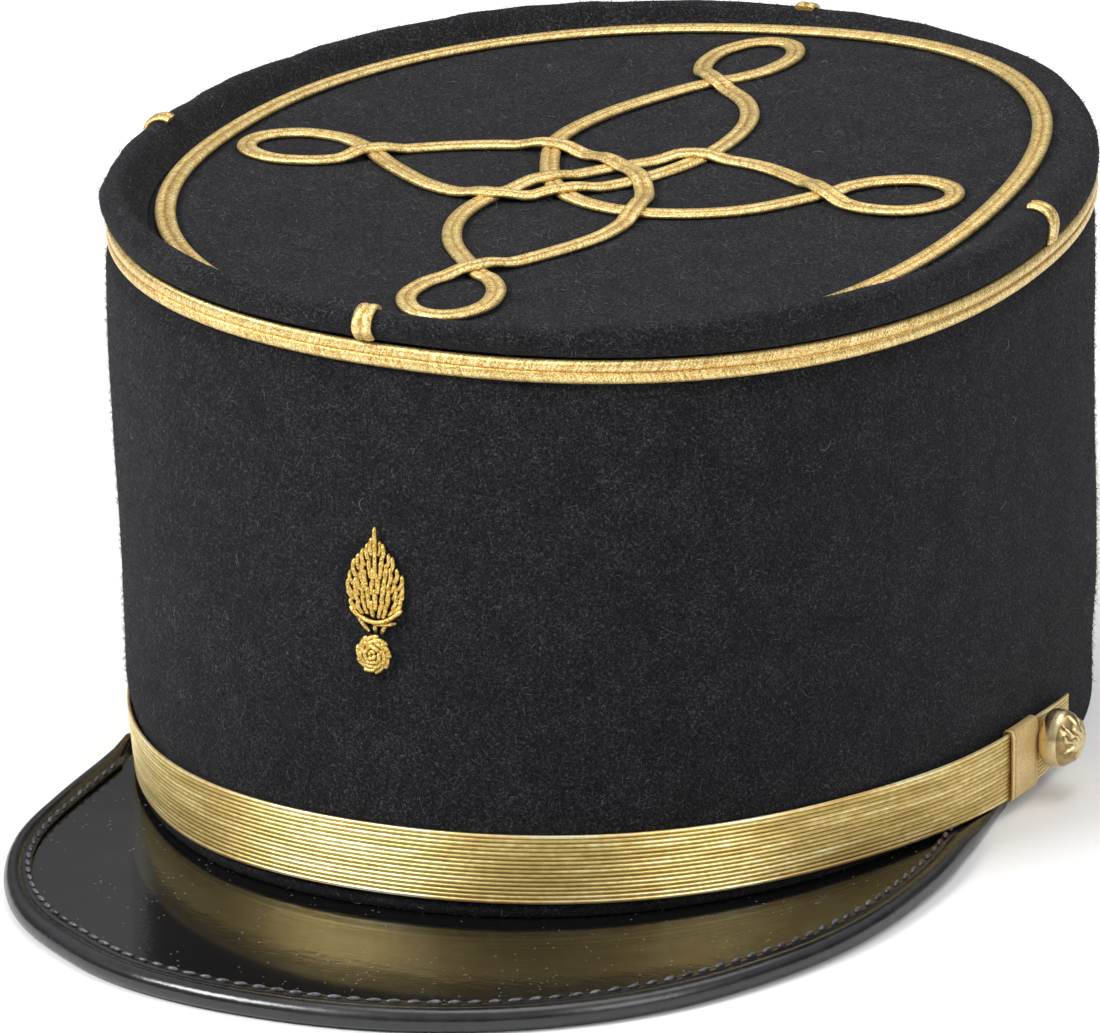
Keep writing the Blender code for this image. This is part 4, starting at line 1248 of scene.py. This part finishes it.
sections = []
for turn in peak_turns(PEAK_END_ROOM, PEAK_SECTIONS):
    outer = peak_edge(turn, 2 * BINDING_ROLL + GAP)
    inner = base_inside(outer, PEAK_TUCK)
    sections.append(plate_line(outer, inner, PEAK_TOP, PLATE_STEPS_ABOVE)
                    + plate_line(inner, outer, PEAK_BOTTOM, PLATE_STEPS_BELOW))
peak_plate = skin("peak_plate", sections, closed=False, caps=True)
mark(peak_plate, "reach", [max(edge_room(point), 0.0) for section in sections for point in section])
peak_plate.data.set_sharp_from_angle(angle=math.radians(40))
finish_piece(peak_plate, patent, "patent_leather", "visor")


# --- Peak binding ---------------------------------------------------------------------------------
# A strip of softer black leather turned round the peak's edge: a smooth roll outside, then a flat
# band on the plate, held by a row of slanted stitches along its inner edge.
BINDING_BAND = 0.0067  # width of the strip, from the peak's edge to the stitched inner one
BINDING_LOW = 0.0026  # height of the roll where it runs in under the crown
ROLL_RISE_LEFT = (0.0015, 0.0090)  # it rises to its full height over this room outside the crown
ROLL_RISE_RIGHT = (-0.0004, 0.0016)
ROLL_SHARE = 0.85  # share of the room that the roll may take
ROLL_LEAST = 0.0014
ROLL_STEPS = 12
BAND_ROOM = 0.0004  # the band stays this far outside the crown's lower edge
BAND_REST_MOST = 0.75  # where the strip runs in low the band keeps within these shares of its height
BAND_RISE_MOST = 0.86
STRIP_FOOT = 0.15  # the strip's hidden inner side, in shares of the band's and the roll's heights
STRIP_SHOULDER = 0.97
Narrowing = namedtuple("Narrowing", "share start stop")
NARROWS_RIGHT = Narrowing(0.30, 28.0, 66.0)  # share of the width, and degrees round from the front
NARROWS_LEFT = Narrowing(0.18, 60.0, 100.0)
STITCH_INSET = 0.0058
STITCH_RISE = 0.00095  # the stitches' middle line above the plate
STITCH_END_ROOM = 0.0062  # they stop where the peak's edge comes this near to the crown
BINDING_SECTIONS = 420
BandPoint = namedtuple("BandPoint", "inset height")
BAND_PROFILE = (  # shares of the band's width past the roll, and heights above the plate
    BandPoint(0.02, 0.00095),
    BandPoint(0.10, 0.00045),
    BandPoint(0.22, 0.00085),
    BandPoint(0.42, 0.00080),
    BandPoint(0.56, 0.00055),
    BandPoint(0.72, 0.00095),
    BandPoint(0.88, 0.00060),
    BandPoint(0.95, 0.00062),
    BandPoint(1.0, 0.00040),
)


def binding_share(turn):
    """The strip is turned in less at the sides than in front, and least at the wearer's right."""
    away = math.degrees(turn) + 90.0
    right, left = NARROWS_RIGHT, NARROWS_LEFT
    return (1.0 - right.share * smooth_step(right.start, right.stop, -away)
            - left.share * smooth_step(left.start, left.stop, away))


def binding_section(turn):
    """The strip cut through: round the roll, over the band, and back underneath."""
    space = edge_room(peak_edge(turn))
    wide = binding_share(turn)
    run = ROLL_RISE_LEFT if turn > -math.pi / 2 else ROLL_RISE_RIGHT
    tall = BINDING_LOW + (2 * BINDING_ROLL - BINDING_LOW) * smooth_step(*run, space)
    deep = min(max(ROLL_SHARE * space, ROLL_LEAST), 2 * BINDING_ROLL * wide)
    flat = min(max(space - BAND_ROOM, deep + GAP / 3), BINDING_BAND * wide)
    roll = []
    for step in range(ROLL_STEPS + 1):
        turned = math.radians(-90 + 200 * step / ROLL_STEPS)
        roll.append((deep / 2 * (1 - math.cos(turned)), tall / 2 * (1 + math.sin(turned))))
    rest = min(PEAK_TOP + GAP / 2, tall * BAND_REST_MOST)
    for point in BAND_PROFILE:
        rise = rest + point.height * (flat - deep) / (BINDING_BAND * wide - deep)
        roll.append((deep + (flat - deep) * point.inset, min(rise, tall * BAND_RISE_MOST)))
    roll += [(flat, rest), (deep, rest * STRIP_SHOULDER), (deep, tall * STRIP_FOOT)]
    section = []
    for inset, height in roll:
        plan = peak_edge(turn, inset)
        section.append(Vector((plan.x, plan.y, height)))
    return section


binding_leather, tree, shader = new_material("binding_leather", roughness=0.24,
                                             specular_ior_level=0.6)
place = object_place(tree)
grain = mottle(tree, place, 520.0, detail=4.0, roughness=0.6)
pull = mottle(tree, place, 60.0)
dye(tree, shader, grain, (0.3, (0.006, 0.006, 0.007)), (0.7, (0.016, 0.016, 0.018)))
vary_gloss(tree, shader, pull, 0.17, 0.34, low=0.3, high=0.7)
emboss(tree, shader, weighted(tree, (grain, 0.2), (pull, 1.0)), 0.5, 0.0006)

binding_turns = peak_turns(BINDING_END_ROOM, BINDING_SECTIONS)
binding = skin("peak_binding", [binding_section(turn) for turn in binding_turns], closed=False,
               caps=True)
finish_piece(binding, binding_leather, "binding_leather", "visor_binding")


def stitch_tree():
    """Grains of thread along a line, each turned a little out of it and not quite of one size."""
    tree, given, result = new_tree(
        "slanted_stitches", ("Pitch", "Float"), ("Length", "Float"), ("Thickness", "Float"),
        ("Slant", "Float"), ("Material", "Material"))
    line = add(tree, "GeometryNodeMeshToCurve", {"Mesh": given["Geometry"]}).outputs[0]
    even = add(tree, "GeometryNodeCurveToPoints", {"Curve": line}, mode="LENGTH")
    tree.links.new(given["Pitch"], even.inputs["Length"])
    grain = add(tree, "GeometryNodeMeshUVSphere", {"Segments": 10, "Rings": 7,
                                                   "Radius": 0.5}).outputs[0]
    grain = add(tree, "GeometryNodeTransform", {
        "Geometry": grain,
        "Scale": vector(tree, given["Thickness"], given["Thickness"], given["Length"])}).outputs[0]
    heading = add(tree, "FunctionNodeAlignRotationToVector", {
        "Vector": even.outputs["Tangent"]}, axis="Z").outputs[0]
    slanted = add(tree, "FunctionNodeAxisAngleToRotation", {
        "Axis": (0.0, 0.0, 1.0), "Angle": given["Slant"]}).outputs[0]
    heading = add(tree, "FunctionNodeRotateRotation", {0: heading, 1: slanted},
                  rotation_space="GLOBAL").outputs[0]
    row = add(tree, "GeometryNodeInstanceOnPoints", {
        "Points": even.outputs["Points"], "Instance": grain, "Rotation": heading,
        "Scale": random_value(tree, (0.85, 0.85, 0.85), (1.1, 1.1, 1.1), 5, vector=True)}).outputs[0]
    dress(tree, row, given, result, smooth=True)
    return tree


stitch_points = []
for turn in binding_turns:
    if edge_room(peak_edge(turn)) > STITCH_END_ROOM:
        plan = peak_edge(turn, STITCH_INSET * binding_share(turn))
        stitch_points.append((plan.x, plan.y + CROWN_Y, PEAK_TOP + STITCH_RISE))
guide = new_object("stitch_guide", stitch_points,
                   [(i, i + 1) for i in range(len(stitch_points) - 1)])
waxed_thread, tree, shader = new_material("waxed_thread", roughness=0.28)
dye(tree, shader, mottle(tree, object_place(tree), 900.0), (0.35, (0.026, 0.026, 0.029)),
    (0.7, (0.125, 0.125, 0.135)))
stitches = grow(guide, "peak_stitches", stitch_tree(), pitch=0.0034, length=0.0025,
                thickness=0.00086, slant=math.radians(12), material=waxed_thread)
bpy.data.objects.remove(guide)
finish_piece(stitches, waxed_thread, "binding_leather")


# --- Chin strap -----------------------------------------------------------------------------------
# Sixteen gilt cords laid side by side on a tape, so the strap is ribbed along its length. It lies on
# the felt across the front and runs through a loop to a button at each side.
STRAP_SIDE_HEIGHT = 0.0082
STRAP_FRONT_RISE = 0.0039
STRAP_END_ANGLE = math.radians(5.6)
STRAP_CORDS = 16
STRAP_SPACING = 0.00077
STRAP_STAND_OFF = 0.0013
STRAP_LEFT_RUN = (0.25, 0.60)  # it comes in to the felt over this share of the way forward
STRAP_RIGHT_RUN = (0.17, 0.34)
STRAP_STEPS = 360
TAPE_THICK = 0.0003
STRAP_END_THIN = 0.22  # the strap is this much narrower at its ends
STRAP_THIN_RUN = (-0.04, 0.12)  # and narrows over this share of the way back
STRAP_WINDING = 0.00045  # from one turn of its thread to the next
STRAP_LEAN_SPAN = 0.006  # its lean is read from the felt over this height
STRAP_SWAYS = (Swell(-28.0, 22.0, 0.00045), Swell(-125.0, 22.0, -0.00025))


def strap_height(angle):
    return (STRAP_SIDE_HEIGHT + STRAP_FRONT_RISE * max(-math.sin(angle), 0.0)
            + swell_at(angle, STRAP_SWAYS))


def strap_stand_off(angle):
    """The strap lies on the felt in front and stands off it at its loops, further on the left."""
    run = STRAP_LEFT_RUN if math.cos(angle) > 0.0 else STRAP_RIGHT_RUN
    return GAP + (STRAP_STAND_OFF - GAP) * (1.0 - smooth_step(*run, -math.sin(angle)))


def strap_point(angle, up=0.0, out=0.0):
    """Point of the strap, from the middle of its back, up its width and out from it. At the wearer's
    right temple it leans in with the felt."""
    middle = strap_height(angle)
    lean = drawn_in(angle, middle) - drawn_in(angle, middle + STRAP_LEAN_SPAN)
    lean /= STRAP_LEAN_SPAN
    away = strap_stand_off(angle) - drawn_in(angle, middle) + out + lean * up
    return wall_point(angle, middle + up, away)


strap_angles = [-math.pi - STRAP_END_ANGLE + (math.pi + 2 * STRAP_END_ANGLE) * i / STRAP_STEPS
                for i in range(STRAP_STEPS + 1)]
points, ups, thicks = [], [], []
for angle in strap_angles:
    points.append(strap_point(angle, 0.0, TAPE_THICK))
    across = strap_point(angle, STRAP_LEAN_SPAN / 2) - strap_point(angle, -STRAP_LEAN_SPAN / 2)
    outward = wall_normal(angle, strap_height(angle))
    ups.append((outward - across * outward.dot(across) / across.length_squared).normalized())
    thicks.append(1.0 - STRAP_END_THIN * smooth_step(*STRAP_THIN_RUN, math.sin(angle)))


def cord_streaks_and_glints(tree, along_scale, cord_scale, detail):
    """Pattern drawn out along each cord of the strap, another one on every cord; its highest values are
    coloured as painted glints.
    """
    place = vector(tree, maths(tree, "MULTIPLY", marked(tree, "along"), along_scale),
                   maths(tree, "MULTIPLY", marked(tree, "cord"), cord_scale))
    return mottle(tree, place, 1.0, detail, dimensions="2D")


gilt_strap, tree, shader = new_material("gilt_strap", roughness=0.34, metallic=0.85)
across_strap = maths(tree, "DIVIDE", marked(tree, "cord"), STRAP_CORDS - 1.0)
from_middle = maths(tree, "ABSOLUTE", maths(tree, "SUBTRACT", across_strap, 0.5))
edge_cord = maths(tree, "GREATER_THAN", from_middle, 0.44)
tone = weighted(tree, (cord_streaks_and_glints(tree, 55.0, 5.3, 2.0), 0.72),
                (cord_streaks_and_glints(tree, 700.0, 9.1, 1.0), 0.28))
# The brightest stop of each ramp, near white gold, is a painted glint along the cords; the lower stops
# are the gold's own uneven tone.
body = ramp(tree, tone, (0.34, (0.60, 0.450, 0.150)), (0.50, (0.76, 0.590, 0.220)),
            (0.62, (0.92, 0.750, 0.340)), (0.72, (1.0, 0.93, 0.54)))
edge = ramp(tree, tone, (0.34, (0.80, 0.55, 0.20)), (0.50, (0.96, 0.74, 0.34)),
            (0.64, (1.0, 0.93, 0.58)))
mixed_colour(tree, shader, edge_cord, body, edge)
turns = wave(tree, maths(tree, "MULTIPLY", marked(tree, "along"), 1.0 / STRAP_WINDING))
rough_thread = mottle(tree, object_place(tree), 2400.0)
emboss(tree, shader, weighted(tree, (turns, 0.5), (rough_thread, 0.7)), 0.4, 0.00005)

strap = lay_cords("chin_strap_cords", [Line(points, ups, False, thicks)], cords=STRAP_CORDS,
                  spacing=STRAP_SPACING, radius=0.00043, flatness=0.82, sides=8, step=0.0006,
                  pitch=0.001, slant=0.0, depth=0.0, material=gilt_strap)
finish_piece(strap, gilt_strap, "gilt_strap", "chin_strap")


# --- Strap loops ----------------------------------------------------------------------------------
# A flat sleeve of fine gilt cloth round the strap, ahead of each button. Its front edge is turned in
# and pressed, which leaves a narrow welt.
LOOP_FRONT_ANGLE = math.radians(-7.9)
LOOP_BACK_ANGLE = math.radians(-2.6)
LOOP_STEPS = 40
LOOP_SECTIONS = 48
LOOP_HALF = 0.0066
LOOP_BACK = -0.0006  # how far the sleeve reaches behind the strap's back
LOOP_FRONT = 0.0016  # and out in front of it
LOOP_WALL = 0.00035
LOOP_SQUARE_UP = 0.25  # powers that square its rounded section off, up its height and out from the felt
LOOP_SQUARE_OUT = 0.4
LOOP_RIBS = 26
LOOP_WELT = 0.12  # share of the loop's length that the welt takes
LOOP_WELT_SPREAD = 0.05
LOOP_WELT_RISE = 0.00008

loop_cloth, tree, shader = new_material("gilt_cloth", roughness=0.55, metallic=0.35)
place = object_place(tree)
weave = mottle(tree, place, 1900.0, detail=3.0)
across_loop = marked(tree, "across")
rib = maths(tree, "SINE", maths(tree, "MULTIPLY", across_loop, 2 * math.pi * LOOP_RIBS))
tone = weighted(tree, (weave, 0.55), (mottle(tree, place, 160.0), 0.35), (rib, 0.02))
cloth = ramp(tree, tone, (0.30, (0.58, 0.42, 0.18)), (0.48, (0.74, 0.56, 0.27)),
             (0.62, (0.88, 0.71, 0.39)))
# Painted light along the loop: a painted shadow line at each end where it meets the strap, painted
# shade in the two thin fold lines, and lighter strips of painted highlight on the welts.
fold_shade, plain = (0.42, 0.28, 0.12), (0.90, 0.88, 0.84)
seam_shade_and_light = ramp(tree, across_loop, (0.0, (0.55, 0.42, 0.24)), (0.02, (1.0, 1.0, 1.0)),
            (0.085, (1.0, 1.0, 1.0)), (0.10, fold_shade), (0.115, fold_shade), (0.14, plain), (0.88, plain),
            (0.90, (0.62, 0.48, 0.28)), (0.92, (0.95, 0.95, 0.95)), (1.0, (0.80, 0.70, 0.50)))
mixed_colour(tree, shader, 1.0, cloth, seam_shade_and_light, "MULTIPLY")
emboss(tree, shader, weave, 0.5, 0.00010)


def loop_piece(side):
    """The sleeve, built round the strap in sections that each run along the strap and back inside."""
    sections, shares = [], []
    for i in range(LOOP_SECTIONS):
        turn = 2 * math.pi * i / LOOP_SECTIONS
        across = powered(math.sin(turn), LOOP_SQUARE_UP)
        over = 0.5 + 0.5 * powered(math.cos(turn), LOOP_SQUARE_OUT)
        section = []
        for inside in (False, True):
            for step in range(LOOP_STEPS + 1):
                share = step / LOOP_STEPS if not inside else 1.0 - step / LOOP_STEPS
                angle = LOOP_FRONT_ANGLE + (LOOP_BACK_ANGLE - LOOP_FRONT_ANGLE) * share
                welt = math.exp(-((share - LOOP_WELT / 2) / LOOP_WELT_SPREAD) ** 2)
                proud = -LOOP_WALL if inside else LOOP_WELT_RISE * welt
                half, high = LOOP_HALF + proud, LOOP_FRONT + proud
                low = LOOP_BACK + (LOOP_WALL if inside else 0.0)
                place = angle if side > 0 else math.pi - angle
                section.append(strap_point(place, across * half, low + (high - low) * over))
                shares.append(share)
        sections.append(section)
    made = skin(f"strap_loop_{'left' if side > 0 else 'right'}_cloth", sections)
    mark(made, "across", shares)
    return made


for side, node in ((1, "strap_loop_left"), (-1, "strap_loop_right")):
    finish_piece(loop_piece(side), loop_cloth, "gilt_cloth", node)


# --- Buttons --------------------------------------------------------------------------------------
# Gilt brass, pressed in two halves: a rounded back and a domed front with a raised flame and ball
# inside a plain border. Each is sewn through the end of the strap.
BUTTON_ANGLE = math.radians(-1.1)
BUTTON_HEIGHT = 0.0102
BUTTON_RADIUS = 0.0052
BUTTON_OFF_STRAP = 0.0018
ProfilePoint = namedtuple("ProfilePoint", "radius height")
BUTTON_PROFILE = (
    ProfilePoint(0.0, 0.0),
    ProfilePoint(0.60, 0.0),
    ProfilePoint(0.84, 0.06),
    ProfilePoint(0.97, 0.22),
    ProfilePoint(1.0, 0.38),
    ProfilePoint(0.99, 0.52),
    ProfilePoint(0.965, 0.66),
    ProfilePoint(0.90, 0.83),
    ProfilePoint(0.78, 0.99),
    ProfilePoint(0.58, 1.13),
    ProfilePoint(0.32, 1.22),
    ProfilePoint(0.0, 1.25),
)
BUTTON_SEGMENTS = 128
BUTTON_STEPS = 9  # rings between two points of the profile
FlameTongue = namedtuple("FlameTongue", "lean_degrees length")
FLAME_TONGUES = (FlameTongue(-84, 0.74), FlameTongue(-58, 0.86), FlameTongue(-33, 0.94),
                 FlameTongue(-9, 1.04), FlameTongue(15, 1.00), FlameTongue(40, 0.94),
                 FlameTongue(68, 0.78))
TONGUE_ROOT = (0.22, -0.16)  # share of the tip's way out, and height
TONGUE_CENTRE = -0.22
TONGUE_WIDTHS = (0.14, 0.09)  # at its root and at its tip
RELIEF_BALL = -0.46  # height of the ball's middle
RELIEF_BALL_RADIUS = 0.32
RELIEF = 0.10
RELIEF_SPREAD = 0.3  # the dome swells sideways too, by this share of the relief
RELIEF_RUN = (0.70, 0.86)  # the figure fades out over this height of the button
DOME_FROM = 0.72
BORDER_TONE = 0.75  # how bright the border and the back are worn
WAVY = 0.20  # how far the tongues lick to and fro
WAVES = 3.4


def stroke(x, y, x0, y0, x1, y1, wide, narrow):
    """A tapered raised stroke from one point to another: 1 on its ridge, 0 at its edge."""
    length = math.hypot(x1 - x0, y1 - y0)
    share = min(max(((x - x0) * (x1 - x0) + (y - y0) * (y1 - y0)) / length ** 2, 0.0), 1.0)
    away = math.hypot(x - x0 - (x1 - x0) * share, y - y0 - (y1 - y0) * share)
    return max(0.0, 1.0 - away / (wide + (narrow - wide) * share))


def button_relief(x, y):
    """Height of the raised figure over a point of the dome's face, in shares of the relief."""
    x, y = (x + WAVY * noise.noise(Vector((WAVES * x, WAVES * y, 1.7))),
            y + WAVY * noise.noise(Vector((WAVES * x, WAVES * y, 5.1))))
    rise = math.sqrt(max(0.0, 1.0 - math.hypot(x, y - RELIEF_BALL) / RELIEF_BALL_RADIUS))
    for tongue in FLAME_TONGUES:
        turned = math.radians(tongue.lean_degrees)
        tip = (math.sin(turned) * tongue.length, TONGUE_CENTRE + math.cos(turned) * tongue.length)
        root = (TONGUE_ROOT[0] * tip[0], TONGUE_ROOT[1])
        rise = max(rise, math.sqrt(stroke(x, y, *root, *tip, *TONGUE_WIDTHS)) * 0.9)
    return rise


def button(name, side):
    """A turned profile with its figure raised, set on the end of the strap."""
    profile = through([(p.radius, p.height, 0.0) for p in BUTTON_PROFILE], BUTTON_STEPS)[1:-1]
    bm = bmesh.new()
    rings, figure = [], []
    for point in profile:
        ring = []
        for i in range(BUTTON_SEGMENTS):
            turn = 2 * math.pi * i / BUTTON_SEGMENTS
            x, y = max(point.x, 0.0) * math.cos(turn), max(point.x, 0.0) * math.sin(turn)
            rise = button_relief(x, y) * smooth_step(*RELIEF_RUN, point.y)
            figure.append(rise if point.y > DOME_FROM else BORDER_TONE)
            wider = 1.0 + RELIEF * rise * RELIEF_SPREAD
            ring.append(bm.verts.new((x * wider, y * wider, point.y + RELIEF * rise)))
        rings.append(ring)
    for ring, after in zip(rings, rings[1:]):
        for i in range(BUTTON_SEGMENTS):
            bm.faces.new((ring[i - 1], ring[i], after[i], after[i - 1]))
    for ring, height in ((rings[0], 0.0), (rings[-1], profile[-1].y)):
        hub = bm.verts.new((0.0, 0.0, height))
        figure.append(0.0)
        for i in range(BUTTON_SEGMENTS):
            bm.faces.new((ring[i - 1], ring[i], hub))
    bmesh.ops.recalc_face_normals(bm, faces=bm.faces)
    angle = BUTTON_ANGLE if side > 0 else math.pi - BUTTON_ANGLE
    outward = wall_normal(angle, BUTTON_HEIGHT)
    sideways = UPWARD.cross(outward)
    turned = Matrix((sideways, outward.cross(sideways), outward)).transposed().to_4x4()
    off = strap_stand_off(angle) - drawn_in(angle, BUTTON_HEIGHT) + BUTTON_OFF_STRAP
    place = wall_point(angle, BUTTON_HEIGHT, off) + Vector((0.0, CROWN_Y, 0.0))
    bmesh.ops.transform(bm, matrix=Matrix.Translation(place) @ turned @ Matrix.Scale(BUTTON_RADIUS, 4),
                        verts=bm.verts)
    made = new_object(name, ())
    bm.to_mesh(made.data)
    bm.free()
    made.data.shade_smooth()
    mark(made, "figure", figure)
    return made


gilt_brass, tree, shader = new_material("gilt_brass", roughness=0.32, metallic=1.0)
tarnish = mottle(tree, object_place(tree), 420.0, detail=4.0, roughness=0.6)
worn = weighted(tree, (maths(tree, "SUBTRACT", tarnish, 0.5), 0.9), (marked(tree, "figure"), 1.0))
dye(tree, shader, worn, (0.00, (0.46, 0.35, 0.17)), (0.14, (0.30, 0.19, 0.07)),
    (0.38, (0.56, 0.43, 0.20)), (0.74, (0.84, 0.69, 0.39)))
vary_gloss(tree, shader, tarnish, 0.24, 0.42, low=0.3, high=0.7)
for side, node in ((1, "button_left"), (-1, "button_right")):
    finish_piece(button(node + "_brass", side), gilt_brass, "gilt_brass", node)
